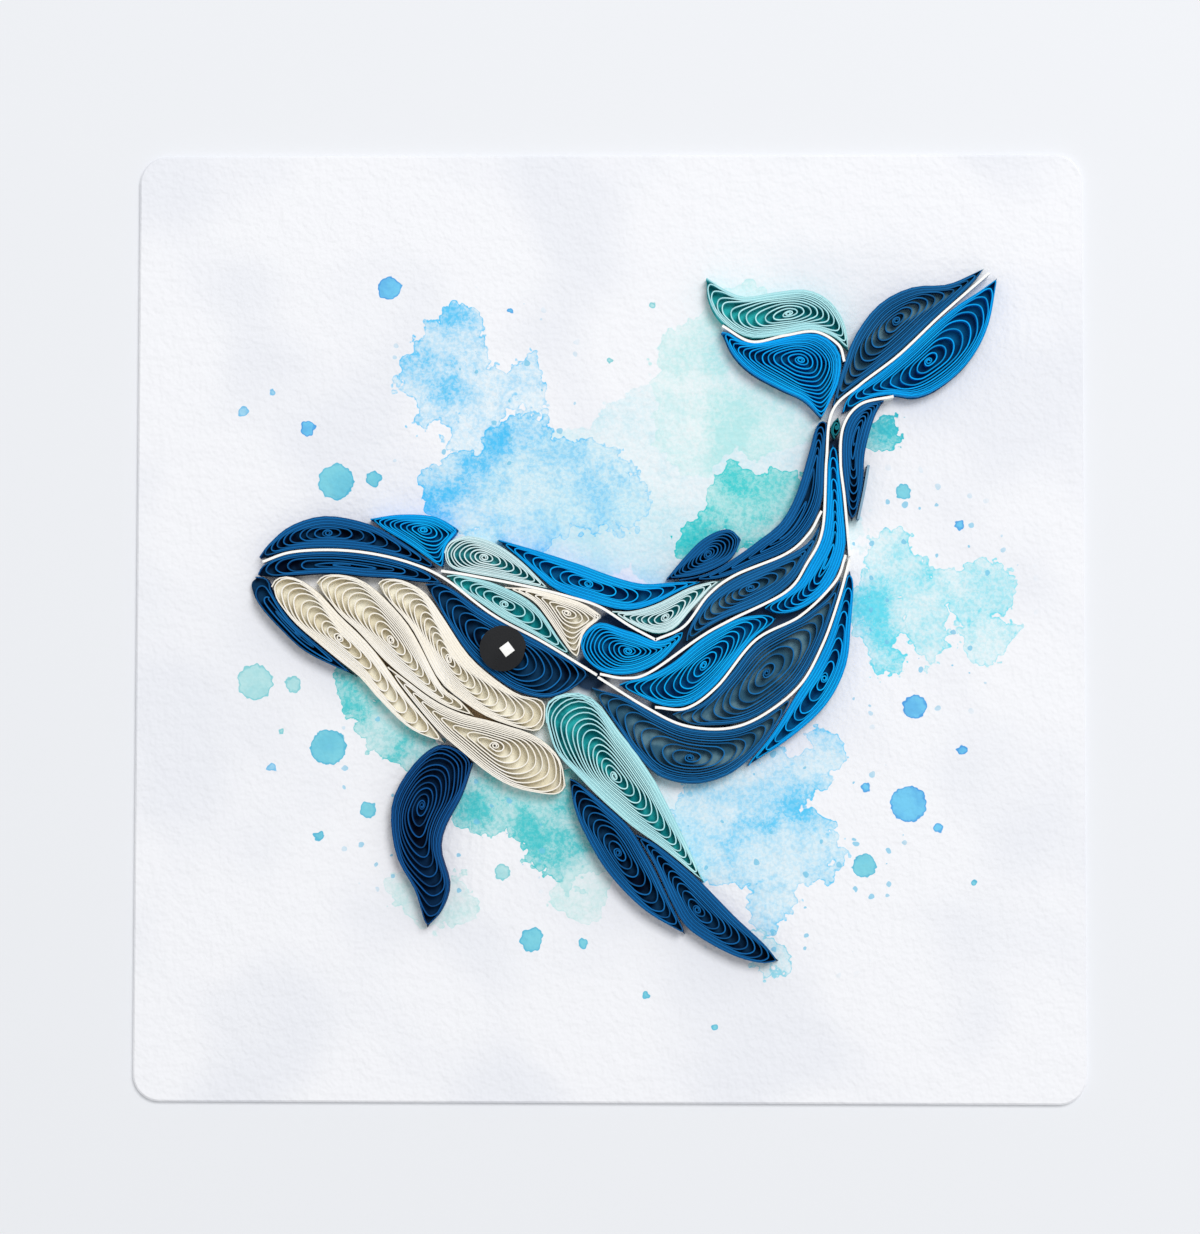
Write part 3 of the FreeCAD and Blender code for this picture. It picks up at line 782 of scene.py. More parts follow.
@dataclass
class Card:
    """The square of cold-pressed watercolour board, with its thin washes and drops."""

    template: Template
    board: Board = Board()
    brush: Brushwork = Brushwork()

    def _nearest_edge(self, place: Place, blots: tuple[Blot, ...], join: float) -> Tone:
        """How far a place lies outside a group of patches run together.

        Args:
            place: The place.
            blots: The patches.
            join: How far they round into each other, in millimetres.

        Returns:
            The distance in millimetres, less than nothing inside.
        """
        nearest = None
        for radius in sorted({blot.radius for blot in blots}):
            alike = [blot.place for blot in blots if blot.radius == radius]
            outside = self._nearest(place, alike) - radius * self.template.unit()
            nearest = outside if nearest is None else nearest.joined(outside, join)
        return nearest

    def _nearest(self, place: Place, pixels: list[Pixel]) -> Tone:
        """How far a place lies from the nearest of some pixels, in millimetres."""
        nearest = None
        for pixel in pixels:
            middle = self.template.place(pixel)
            away = place.distance((middle.x, middle.y, 0.0))
            nearest = away if nearest is None else nearest.lesser(away)
        return nearest

    def _lay_wash(self, paper: Pigment, wet: WetField, wash: Wash) -> Pigment:
        """Lays one wash over the paper.

        Args:
            paper: The colour below.
            wet: The card's shared fields.
            wash: The wash.

        Returns:
            The colour with the wash on it.
        """
        brush = self.brush
        outside = self._nearest_edge(wet.wash_place, wash.patches, brush.wash_join) + wet.lobes
        inside = outside.fall((-wash.edge, wash.edge))
        load = wet.clouds * brush.cloud_load + wet.grains * brush.grain_load
        if wash.pools:
            pool = self._nearest_edge(wet.wash_place, wash.pools, brush.wash_join).fall(brush.pool_span)
            load = load + pool * brush.pool_load
        rim = outside.rise(brush.rim_span) * (wash.rim * brush.rim_gain)
        load = (load + rim).held()
        paint_tone = Pigment(paper.bench, wash.pale).covered(wash.deep, load)
        cover = (load * brush.load_cover + wash.body).held() * inside
        LOG.info("card: wash %s, %d patches", wash.name, len(wash.patches))
        return paper.covered(paint_tone, cover)

    def _drop_drops(self, paper: Pigment, wet: WetField, drops: Drops) -> Pigment:
        """Drops one paint on the card, each drop with a darker edge.

        Args:
            paper: The colour below.
            wet: The card's shared fields.
            drops: The drops.

        Returns:
            The colour with the drops on it.
        """
        brush = self.brush
        outside = self._nearest_edge(wet.drop_place, drops.spots, brush.drop_join) + wet.wavelets
        inside = outside.fall(brush.drop_span)
        rim = outside.rise(brush.drop_rim_span)
        load = (wet.clouds * brush.drop_cloud_load + rim * brush.drop_rim_load).held()
        paint_tone = Pigment(paper.bench, drops.pale).covered(drops.deep, load)
        LOG.info("card: drops %s, %d spots", drops.name, len(drops.spots))
        return paper.covered(paint_tone, inside * brush.drop_cover)

    def _shade_under(self, paper: Pigment, level: Place) -> Pigment:
        """Paints shade on the card under the rolls, well inside the whale's outline, where the gaps between
        them lie dark.

        Args:
            paper: The colour below.
            level: The place on the card.

        Returns:
            The colour with the painted shade on it.
        """
        brush = self.brush
        # Painted shade: dark navy under the body and tan under the throat, which shows in the gaps between
        # the rolls.
        for blots, colour in ((SHADE_UNDER_BODY, brush.body_shade), (SHADE_UNDER_THROAT, brush.throat_shade)):
            share = self._nearest_edge(level, blots, brush.shade_join).fall(brush.shade_span)
            paper = paper.covered(colour, share * brush.shade_cover)
        return paper

    def _spatter(self, paper: Pigment, wet: WetField) -> Pigment:
        """Scatters specks of paint round the washes.

        Args:
            paper: The colour below.
            wet: The card's shared fields.

        Returns:
            The colour with the specks on it.
        """
        brush = self.brush
        near = self._nearest_edge(wet.level, NEAR_WASHES, brush.speck_join).fall(brush.speck_span)
        specks, chance = wet.drop_place.cells(brush.speck_cells)
        size = chance.rise(brush.speck_chance, 0.0, brush.speck_size)
        inside = (size - specks).rise(brush.speck_edge)
        return paper.covered(brush.speck_colour, inside * near * brush.speck_cover)

    def make_finish(self) -> bpy.types.Material:
        """Makes the card's material.

        Returns:
            White board with a pebbled surface, the washes, the drops and the spatter.
        """
        board = self.board
        finish = Finish("watercolour_board", board.roughness, board.specular)
        level = FlatPlace(finish.bench, (finish.place() * (1.0, 1.0, 0.0)).output)
        wet = WetField(level)
        bare = Pigment(finish.bench, board.white)
        bare = bare.covered(board.cool, level.mottle(board.cool_field).rise(board.cool_span))
        top = finish.upward().rise(board.facing_span)
        painted = bare
        for wash in WASHES:
            painted = self._lay_wash(painted, wet, wash)
        for drops in DROPS:
            painted = self._drop_drops(painted, wet, drops)
        painted = self._spatter(painted, wet)
        painted = self._shade_under(painted, level)
        finish.colour(bare.covered(painted, top))
        pebbles = level.mottle(board.pebbles) * board.pebble_share
        felt = level.mottle(board.felt) * board.felt_share
        finish.grain(pebbles + felt, board.grain_depth, board.grain_strength)
        return finish.material

    def dress(self, node: bpy.types.Object) -> None:
        """Gives the card's own solid its painted paper."""
        paint(node, self.make_finish())


# The outlines of the whale's rolls and strips.


@dataclass(frozen=True)
class Coil:
    """One roll: its paper and its real turns, and in pixels its two tips, its heart and its two sides.

    The ends of its loops step over a share of the way from the tips to the heart. A roll that was pressed
    flat has a small share, so its loops stay long.
    """

    node: str
    paper: Paper
    turns: int
    first: Pixel
    last: Pixel
    centre: Pixel
    upper: list[Pixel]
    lower: list[Pixel]
    step_share: float = 1.0


@dataclass(frozen=True)
class EdgeStrip:
    """One single strip that stands between the rolls: its paper, and its course in pixels."""

    node: str
    paper: Paper
    points: list[Pixel]


COILS = (
    Coil("upper_jaw", Paper.NAVY, 11, (258, 559), (436, 569), (328, 534),
         [(269, 544), (291, 526), (326, 516.5), (370, 525), (400, 541)],
         [(285, 553), (320, 549.5), (361, 551.5), (400, 559)]),
    Coil("upper_lip", Paper.NAVY, 8, (257, 576), (446, 586), (350, 567),
         [(264, 566), (288, 557), (326, 555), (374, 558), (414, 568.5)],
         [(275, 577), (315, 575.5), (355, 577), (401, 580.5)], 0.6),
    Coil("lower_jaw", Paper.NAVY, 6, (255, 578), (356, 678), (290, 628),
         [(267, 582), (271, 594), (289, 621), (313, 644), (336, 663)],
         [(249, 586), (257, 606), (280, 632), (307, 655)], 0.45),
    Coil("throat_1", Paper.CREAM, 12, (271, 588), (444, 744), (341, 640),
         [(278, 580), (291, 579), (308, 587), (340, 618), (371, 648), (402, 690), (434, 728)],
         [(277, 602), (296, 625), (328, 651), (358, 677), (379, 701), (410, 730)]),
    Coil("throat_2", Paper.CREAM, 11, (316, 584), (474, 717), (391, 641),
         [(324, 576.5), (340, 575), (360, 581), (378, 595), (403, 621), (421, 650), (441, 687),
          (459, 701)],
         [(327, 598), (340, 616), (357, 632), (385, 662), (420, 690), (446, 706)]),
    Coil("throat_3", Paper.CREAM, 13, (378, 585), (545, 715), (449, 660),
         [(384, 580.5), (402, 581.5), (423, 595), (440, 619), (464, 655), (488, 678), (516, 696),
          (541, 701)],
         [(392, 605), (414, 632), (437, 677), (459, 699), (494, 719), (530, 731), (541, 729)]),
    Coil("throat_4", Paper.CREAM, 10, (386, 666), (566, 786), (495, 746),
         [(400, 677), (433, 702), (460, 715), (500, 726), (537, 738), (558, 759)],
         [(402, 689), (434, 728), (474, 764), (510, 787), (548, 795.5), (561, 793)]),
    Coil("snout_blue", Paper.BLUE, 9, (369, 520), (442, 569), (423, 531),
         [(400, 515.5), (435, 517.5), (458, 530), (458, 530), (446, 544), (443, 557)],
         [(385, 533), (415, 550)]),
    Coil("aqua_brow", Paper.PALE_AQUA, 9, (444, 554), (550, 590.5), (484.5, 558.5),
         [(452, 542), (470, 537), (494, 544), (521, 561), (541, 581)],
         [(450, 568), (468, 575.5), (504, 581), (534, 587.5)]),
    Coil("dorsal_blue", Paper.BLUE, 12, (497, 540), (705, 582), (588, 585),
         [(536, 551), (580, 565), (610, 576), (640, 584), (667, 583.5)],
         [(516, 558), (543, 582), (562, 595), (598, 606.5), (630, 610.5), (654, 604), (680, 591)]),
    Coil("aqua_cheek", Paper.AQUA, 7, (446, 577), (571, 656), (504, 605),
         [(469, 580), (510, 591), (535, 608), (557, 639)],
         [(461, 593), (493, 613), (527, 631), (556, 648)]),
    Coil("cheek_cream", Paper.CREAM, 8, (503, 588), (577, 659), (567, 614),
         [(539, 594), (578, 604), (601, 617), (601, 617), (585, 629), (579.5, 642)],
         [(532, 601), (548, 618), (567, 647)]),
    Coil("eye_patch", Paper.NAVY, 10, (425, 585), (589, 676), (505, 650),
         [(445, 586), (476, 610), (510, 628), (543, 647), (574, 666)],
         [(438, 603), (455, 631), (472, 655), (496, 676), (520, 692), (546, 699), (571, 690)]),
    Coil("aqua_back", Paper.PALE_AQUA, 8, (611, 612), (721, 581), (666, 618),
         [(632, 613), (659, 605), (687, 590), (706, 584)],
         [(632, 624), (656, 633), (675, 627), (693, 606), (707, 590)]),
    Coil("saddle_blue", Paper.BLUE, 11, (582, 650), (684, 632), (628, 652),
         [(585, 637), (601, 624), (627, 632.5), (652, 642), (670, 640)],
         [(588, 662), (606, 672.5), (634, 673), (658, 662), (677, 645)]),
    Coil("navy_back", Paper.MID_NAVY, 11, (686, 642), (822, 518), (750, 589),
         [(695, 619), (709, 598), (735, 581), (766, 567), (796, 554), (813, 540)],
         [(702, 630), (728, 616), (760, 603), (788, 586), (801, 573), (812, 550)]),
    Coil("blue_mid", Paper.BLUE, 11, (619, 685.5), (776, 619), (703, 666),
         [(648, 679), (673, 665), (701, 643), (734, 622.5), (760, 616)],
         [(633, 693), (661, 706), (687, 705), (711, 689), (734, 664), (754, 637)]),
    Coil("tail_blue", Paper.BLUE, 11, (764, 609), (833, 444), (826.5, 562),
         [(781, 597), (800, 581), (812, 558), (822, 535), (827, 503), (829, 468)],
         [(784, 614), (815, 603), (832, 586), (844, 556), (841, 520), (837, 470)], 0.8),
    Coil("navy_flank", Paper.MID_NAVY, 10, (672, 715), (841, 577), (765, 674),
         [(704, 705), (732, 677), (755, 647), (779, 628), (808, 614), (829, 599)],
         [(697, 724), (739, 722), (766, 711), (797, 684), (819, 649), (833, 609)]),
    Coil("belly_navy", Paper.MID_NAVY, 10, (592, 688), (791, 698), (690, 758),
         [(623, 699), (655, 717), (690, 731), (730, 732), (762, 720)],
         [(611, 719), (636, 756), (661, 778), (694, 785), (728, 776), (753, 755), (771, 732)]),
    Coil("flank_blue", Paper.BLUE, 11, (747, 767), (850, 571), (823, 680),
         [(771, 737), (787, 713), (803, 683), (828, 642), (841, 604)],
         [(790, 739), (826, 706), (846, 667), (851, 624), (853.5, 588)]),
    Coil("tail_navy", Paper.NAVY, 9, (674, 581.5), (827, 422), (790, 530),
         [(706, 576), (733, 561), (757, 542), (780, 523), (796, 494), (808, 455), (817, 424)],
         [(724, 579), (760, 564), (792, 550), (810, 529), (822.5, 497), (823.5, 455)], 0.4),
    Coil("dorsal_fin", Paper.NAVY, 9, (666, 580), (741, 540), (708, 555),
         [(684, 558), (704, 538.5), (727, 529.5)],
         [(691, 577), (714, 569), (731, 558)]),
    Coil("tail_bud", Paper.NAVY, 7, (884, 401), (852, 521), (855, 438),
         [(862, 405), (847, 421), (842, 450), (846, 490)],
         [(874, 421), (865, 455), (859, 492)], 0.7),
    Coil("tail_filler", Paper.TEAL, 2, (834, 440), (838, 417), (836, 428),
         [(832, 428)],
         [(840, 429)]),
    Coil("fluke_left_aqua", Paper.AQUA, 11, (706, 277), (849, 350), (789, 314),
         [(724, 289), (746, 297), (776, 292), (806, 289.5), (829, 300), (844, 322)],
         [(707, 297), (718, 319), (741, 335.5), (777, 337), (808, 331), (834, 337)]),
    Coil("fluke_left_blue", Paper.BLUE, 13, (721, 332), (821, 419), (800, 360),
         [(744, 344), (771, 343), (800, 336.5), (822, 338), (839, 355), (840, 380), (829, 403)],
         [(732, 355), (751, 374), (780, 390), (803, 401)]),
    Coil("fluke_right_navy", Paper.MID_NAVY, 11, (832, 408), (985, 267), (896, 321),
         [(841, 370), (857, 332), (880, 303), (912, 287), (948, 284)],
         [(851, 389), (875, 372), (904, 346), (929, 325), (958, 299)]),
    Coil("fluke_right_blue", Paper.BLUE, 10, (842, 413), (998, 276.5), (929, 361),
         [(853, 393), (881, 375), (908, 352), (941, 321), (972, 297)],
         [(867, 398), (890, 395), (916, 398.5), (941, 388), (969, 363), (988, 328)]),
    Coil("flipper_aqua", Paper.AQUA, 15, (547, 724), (704, 882), (613, 776),
         [(550, 702), (572, 693.5), (594, 701), (617, 728), (643, 762), (665, 800), (688, 846)],
         [(561, 757), (590, 786), (630, 823), (674, 857)]),
    Coil("flipper_navy_left", Paper.NAVY, 10, (570, 779), (685, 934), (618, 852),
         [(600, 804), (631, 831), (648, 859), (668, 898)],
         [(574, 809), (586, 838), (609, 875), (644, 910)]),
    Coil("flipper_navy_right", Paper.NAVY, 11, (635, 834), (778, 960), (697, 909),
         [(659, 847), (702, 883), (735, 916), (764, 943)],
         [(655, 865), (672, 903), (691, 931), (728, 953), (758, 962)]),
    Coil("flipper_left", Paper.DARK_NAVY, 12, (473, 764), (428, 928), (423, 806),
         [(462, 797), (446, 828), (442, 852), (451, 885), (443, 911)],
         [(462, 751), (438, 745.5), (412, 766), (392, 804), (396, 853), (415, 889), (424, 917)]),
)

EDGE_STRIPS = (
    EdgeStrip("mouth_line", Paper.WHITE,
              [(262, 563), (290, 553.5), (330, 551), (370, 554.5), (410, 564), (445, 580), (493, 616),
               (543, 643), (597, 676)]),
    EdgeStrip("belly_line", Paper.WHITE,
              [(598, 678), (646, 708), (684, 726), (726, 729), (761, 716.5), (799, 686), (822, 645),
               (838, 600), (849, 560)]),
    EdgeStrip("brow_line", Paper.WHITE,
              [(441, 572), (470, 576.5), (530, 588), (570, 598), (600, 608), (630, 627), (656, 641)]),
    EdgeStrip("back_line", Paper.WHITE,
              [(655, 641), (684, 627), (708, 596), (735, 576), (785, 555), (808, 535), (821, 512)]),
    EdgeStrip("spine_line", Paper.WHITE,
              [(600, 675), (625, 679), (650, 673), (700, 638), (730, 621), (785, 593), (806, 565),
               (822, 530), (826, 460), (832, 412), (860, 385), (899, 355), (941, 315), (989, 273)]),
    EdgeStrip("flank_line", Paper.WHITE,
              [(655, 708), (686, 709), (717, 687), (755, 641), (800, 616.5), (834, 583), (845, 556)]),
    EdgeStrip("tail_edge_line", Paper.WHITE,
              [(893, 397), (860, 405), (843, 427), (840, 462), (844, 500), (849, 557)]),
    EdgeStrip("bud_line", Paper.GREY_BLUE,
              [(868, 466), (863.5, 492), (857.5, 520)]),
    EdgeStrip("fluke_line", Paper.WHITE,
              [(722, 326), (751, 342), (784, 336), (815, 332), (838, 345), (844, 362)]),
)


@dataclass(frozen=True)
class StripStock:
    """The paper strips and how they are wound. Lengths are in millimetres.

    The slit lies between packed turns, the joint gap between two rolls. The core is the small hook at a
    roll's heart, and the opening says how late the loops open up towards it. The slip says how unevenly the
    loops' ends step, and the cap is the round end of a loop. A single strip stands between rolls. Lifts are
    the uneven heights from layer to layer. The gap shade is a raised sheet of painted shade and light under
    the turns, and it begins a share of a paper inside the outline.
    """

    paper: float = 0.188
    slit: float = 0.017
    joint_gap: float = 0.04
    core_half: float = 0.5
    core_reach: float = 1.4
    core_turns: float = 1.6
    narrow_core: float = 0.24
    core_shortening: float = 0.72
    core_flattening: float = 0.66
    tip_half: float = 0.075
    opening: float = 2.4
    most_aside: float = 0.6
    slip: float = 0.22
    cap_stretch: float = 1.7
    single: float = 0.40
    single_steps: int = 16
    uneven_top: float = UNEVEN_TOP
    lift_chance: float = 0.35
    lift_changes_a_turn: float = 8.0
    gap_shade_depth: float = 1.3
    gap_shade_inset: float = 0.6
    gap_shade_narrowing: float = 0.8
    gap_shade_steps: int = 60
    samples: int = 100
    curve_error: float = 0.012
    steps_a_turn: int = 56
    spare_layers: int = 3


def smooth_run(points: list[Vector], steps: int = 12) -> list[Vector]:
    """Rounds one run of points into a fine line that passes through each of them.

    Args:
        points: The run.
        steps: How many short pieces lie between two points.

    Returns:
        The fine line.
    """
    if len(points) < 3:
        return list(points)
    padded = [points[0] * 2 - points[1], *points, points[-1] * 2 - points[-2]]
    fine = [points[0]]
    for before, start, end, after in zip(padded, padded[1:], padded[2:], padded[3:]):
        leave = (end - before) * 0.5
        arrive = (after - start) * 0.5
        cubic = (start - end) * 2 + leave + arrive
        square = (end - start) * 3 - leave * 2 - arrive
        for step in range(1, steps + 1):
            share = step / steps
            fine.append(start + leave * share + square * share ** 2 + cubic * share ** 3)
    return fine


def smooth_line(points: list[Vector]) -> list[Vector]:
    """Rounds a line, and keeps a corner at each point that is given twice."""
    runs = [[points[0]]]
    for earlier, later in zip(points, points[1:]):
        if (later - earlier).length < SAME_PLACE:
            runs.append([later])
        else:
            runs[-1].append(later)
    fine = [points[0]]
    for run in runs:
        fine.extend(smooth_run(run)[1:])
    return fine


def away_from_chord(point: Vector, start: Vector, end: Vector) -> float:
    """Gives how far a point lies from the straight line between two others."""
    chord = end - start
    if chord.length < NO_LENGTH:
        return (point - start).length
    along = max(0.0, min(1.0, (point - start).dot(chord) / chord.length_squared))
    return (point - (start + chord * along)).length


def thin_path(points: list[Vector], error: float) -> list[Vector]:
    """Keeps only the points that a path needs.

    Args:
        points: The fine path.
        error: How far the thinned path may leave it.

    Returns:
        The thinned path.
    """
    keep = [False] * len(points)
    keep[0] = True
    keep[-1] = True
    spans = [(0, len(points) - 1)]
    while spans:
        start, end = spans.pop()
        worst = error
        at = None
        for index in range(start + 1, end):
            away = away_from_chord(points[index], points[start], points[end])
            if away > worst:
                worst = away
                at = index
        if at is not None:
            keep[at] = True
            spans.append((start, at))
            spans.append((at, end))
    return [point for point, kept in zip(points, keep) if kept]


class Line:
    """A fine line that can be asked for the point at any share of its length."""

    def __init__(self, points: list[Vector]) -> None:
        """Measures the line."""
        self.points = points
        self.reach = [0.0]
        for earlier, later in zip(points, points[1:]):
            self.reach.append(self.reach[-1] + (later - earlier).length)
        self.length = self.reach[-1]

    def at(self, share: float) -> Vector:
        """Gives the point at a share of the length, from 0 to 1."""
        wanted = min(max(share, 0.0), 1.0) * self.length
        index = min(max(bisect_left(self.reach, wanted), 1), len(self.reach) - 1)
        span = self.reach[index] - self.reach[index - 1]
        part = (wanted - self.reach[index - 1]) / span if span > 0 else 0.0
        return self.points[index - 1].lerp(self.points[index], part)


@dataclass(frozen=True)
class Mark:
    """One point of an outline that neighbours must keep clear of, and half the width of a single strip."""

    place: Vector
    owner: str
    half: float


@dataclass
class Layout:
    """Where all rolls and single strips lie, so that each roll can swell until it meets its neighbours.

    Lengths are in millimetres: how close the marks stand, how far a side looks for a neighbour, how far aside
    of its own way it still meets one, and how far it moves out at most and at least. Then come the fewest
    marks on a side, and over how many marks a side holds back, eases, and comes back to its tips.
    """

    template: Template
    stock: StripStock
    spacing: float = 0.3
    look: float = 1.7
    aside: float = 0.4
    most: float = 0.5
    least: float = -0.15
    fewest_marks: int = 8
    hold_marks: int = 2
    ease_marks: int = 5
    tip_marks: int = 4
    ease_rounds: int = 2
    marks: list[Mark] = field(default_factory=list)
    tree: KDTree | None = None

    def sides(self, coil: Coil) -> tuple[Line, Line]:
        """Gives the two sides of a roll as the photograph shows them."""
        seen = []
        for side in (coil.upper, coil.lower):
            places = [self.template.place(pixel) for pixel in [coil.first, *side, coil.last]]
            seen.append(Line(smooth_line(places)))
        return seen[0], seen[1]

    def note(self, line: Line, owner: str, half: float) -> None:
        """Notes the points of one line."""
        count = max(int(line.length / self.spacing), 2)
        for step in range(count + 1):
            self.marks.append(Mark(line.at(step / count), owner, half))

    def survey(self) -> None:
        """Notes every roll's sides and every single strip."""
        for coil in COILS:
            for side in self.sides(coil):
                self.note(side, coil.node, 0.0)
        for strip in EDGE_STRIPS:
            line = Line(smooth_run([self.template.place(pixel) for pixel in strip.points]))
            self.note(line, strip.node, self.stock.single / 2)
        self.tree = KDTree(len(self.marks))
        for index, mark in enumerate(self.marks):
            self.tree.insert((mark.place.x, mark.place.y, 0.0), index)
        self.tree.balance()

    def free(self, place: Vector, outwards: Vector, owner: str) -> float:
        """How far a side may move out at one place.

        Args:
            place: The place on the side.
            outwards: The direction out of the roll.
            owner: The roll.

        Returns:
            Half the way to another roll or the whole way to a single strip, or nothing over open card.
        """
        room = None
        for _, index, _ in self.tree.find_range((place.x, place.y, 0.0), self.look):
            mark = self.marks[index]
            if mark.owner == owner:
                continue
            step = mark.place - place
            ahead = step.dot(outwards)
            if ahead < 2 * self.least or (step - outwards * ahead).length > self.aside:
                continue
            way = ahead - mark.half if mark.half > 0 else ahead / 2
            room = way if room is None else min(room, way)
        if room is None:
            return 0.0
        if room > self.most:
            return max(2.0 * self.most - room, 0.0)
        return max(room, self.least)

    def swell(self, side: Line, other: Line, owner: str) -> Line:
        """Moves one side of a roll out until it meets what lies beside it.

        Args:
            side: The side as the photograph shows it.
            other: The roll's other side.
            owner: The roll.

        Returns:
            The swollen side, with the same tips.
        """
        count = max(int(side.length / self.spacing), self.fewest_marks)
        places = [side.at(step / count) for step in range(count + 1)]
        outwards = []
        for step in range(count + 1):
            ahead = places[min(step + 1, count)] - places[max(step - 1, 0)]
            normal = Vector((-ahead.y, ahead.x)).normalized()
            inwards = other.at(step / count) - places[step]
            outwards.append(-normal if normal.dot(inwards) > 0 else normal)
        rooms = [self.free(place, way, owner) for place, way in zip(places, outwards)]
        eased = [min(near) for near in self.windows(rooms, self.hold_marks)]
        for _ in range(self.ease_rounds):
            eased = [sum(near) / len(near) for near in self.windows(eased, self.ease_marks)]
        tip = self.tip_marks
        eased = [room * min(step, count - step, tip) / tip for step, room in enumerate(eased)]
        return Line([place + way * room for place, way, room in zip(places, outwards, eased)])

    def windows(self, values: list[float], reach: int) -> list[list[float]]:
        """Gives for each value the values beside it.

        Args:
            values: The values along a side.
            reach: How many are taken before and after each.

        Returns:
            One short list for each value, itself among them.
        """
        return [values[max(step - reach, 0):step + reach + 1] for step in range(len(values))]


class Roll:
    """The path of one strip that is rolled inwards inside the outline of its coil.

    The outline is two sides between two tips. The outer loops lie close together along both sides, and the
    loops open up towards the heart. Their two ends step from the tips to the heart, never quite evenly.
    """

    def __init__(self, stock: StripStock, layout: Layout, coil: Coil) -> None:
        """Measures the outline and finds how many turns have room in it.

        Args:
            stock: The paper strips.
            layout: Where the neighbours lie.
            coil: The roll's outline and turns.
        """
        self.stock = stock
        self.chance = random.Random(coil.node)
        self.least_half = (stock.paper + stock.slit) / 2
        self.start_inset = (stock.paper + stock.joint_gap) / 2
        upper, lower = layout.sides(coil)
        self.upper = layout.swell(upper, lower, coil.node)
        self.lower = layout.swell(lower, upper, coil.node)
        self.length = (self.upper.length + self.lower.length) / 2
        self.shares = [step / stock.samples for step in range(stock.samples + 1)]
        self.halves = [self.half_width(share) for share in self.shares]
        heart = layout.template.place(coil.centre)
        self.centre = self.nearest_share(heart)
        self.widest = self.half_width(self.centre)
        self.core_half = min(stock.core_half, self.widest * stock.narrow_core)
        depth = max(self.widest - self.core_half - self.start_inset, 0.0)
        upwards = (self.upper.at(self.centre) - self.middle(self.centre)).normalized()
        most_aside = depth * stock.most_aside
        aside = max(min((heart - self.middle(self.centre)).dot(upwards), most_aside), -most_aside)
        self.upper_depth = depth - aside
        self.lower_depth = depth + aside
        pitch = stock.paper + stock.slit
        self.turns = max(min(float(coil.turns), min(self.upper_depth, self.lower_depth) / pitch), 1.0)
        self.packed = min(pitch * self.turns, self.upper_depth, self.lower_depth)
        self.core_share = stock.core_reach * self.core_half / self.length
        self.step_share = coil.step_share
        drifts = int(self.turns) + stock.spare_layers
        self.first_drift = [self.chance.uniform(-1.0, 1.0) for _ in range(drifts)]
        self.last_drift = [self.chance.uniform(-1.0, 1.0) for _ in range(drifts)]
        layers = int(self.turns + stock.core_turns) + stock.spare_layers
        raised = 1.0 - stock.lift_chance
        self.lifts = [self.chance.uniform(0.0, stock.lift_chance) + raised * (layer % 2)
                      for layer in range(layers)]

    def half_width(self, share: float) -> float:
        """Half the distance from side to side."""
        return (self.upper.at(share) - self.lower.at(share)).length / 2

    def middle(self, share: float) -> Vector:
        """The point half way between the sides."""
        return (self.upper.at(share) + self.lower.at(share)) / 2

    def nearest_share(self, place: Vector) -> float:
        """The share of the length at which the middle is nearest to a place."""
        return min(self.shares, key=lambda share: (self.middle(share) - place).length)

    def fitting_share(self, inset: float, from_last: bool, turn: float) -> float:
        """The share at which a loop first has room.

        Args:
            inset: How far the loop lies inside the outline.
            from_last: Whether the search comes from the last tip.
            turn: The loop's turn. The outer turn is pinched flat at both tips and reaches further.

        Returns:
            The share of the length.
        """
        inner = min(max(2.0 * turn - 1.0, 0.0), 1.0)
        wanted = self.stock.tip_half + (inset + self.least_half - self.stock.tip_half) * inner
        samples = self.stock.samples
        order = range(samples, -1, -1) if from_last else range(samples + 1)
        earlier = order[0]
        for step in order:
            if self.halves[step] >= wanted:
                rise = self.halves[step] - self.halves[earlier]
                part = (wanted - self.halves[earlier]) / rise if rise > 0 else 1.0
                return (earlier + (step - earlier) * part) / samples
            earlier = step
        return self.centre

    def drift(self, drifts: list[float], turn: float) -> float:
        """How far a loop's end has slipped from its even place, as a share of the step between loops."""
        index = min(int(turn), len(drifts) - 2)
        part = turn - index
        return self.stock.slip * (drifts[index] * (1.0 - part) + drifts[index + 1] * part)

    def insets(self, progress: float) -> tuple[float, float]:
        """How far inside the two sides a loop lies, tight outside and open near the heart."""
        tight = self.start_inset + self.packed * progress
        open_share = progress ** self.stock.opening
        upper = tight + (self.upper_depth - self.packed) * open_share
        lower = tight + (self.lower_depth - self.packed) * open_share
        return upper, lower

    def loop(self, turn: float) -> tuple[float, float, float, float]:
        """The two insets and the two ends of the loop at a turn, counted from the outside."""
        progress = min(turn / self.turns, 1.0)
        upper, lower = self.insets(progress)
        inset = (upper + lower) / 2
        first_span = (self.centre - self.core_share) * self.step_share
        last_span = (1.0 - self.centre - self.core_share) * self.step_share
        first_slip = self.drift(self.first_drift, turn) * first_span / self.turns
        last_slip = self.drift(self.last_drift, turn) * last_span / self.turns
        first_end = first_span * progress + first_slip * math.sin(math.pi * progress)
        last_end = 1.0 - last_span * progress + last_slip * math.sin(math.pi * progress)
        first_end = min(max(first_end, self.fitting_share(inset, False, turn)), self.centre)
        last_end = max(min(last_end, self.fitting_share(inset, True, turn)), self.centre)
        return upper, lower, first_end, last_end

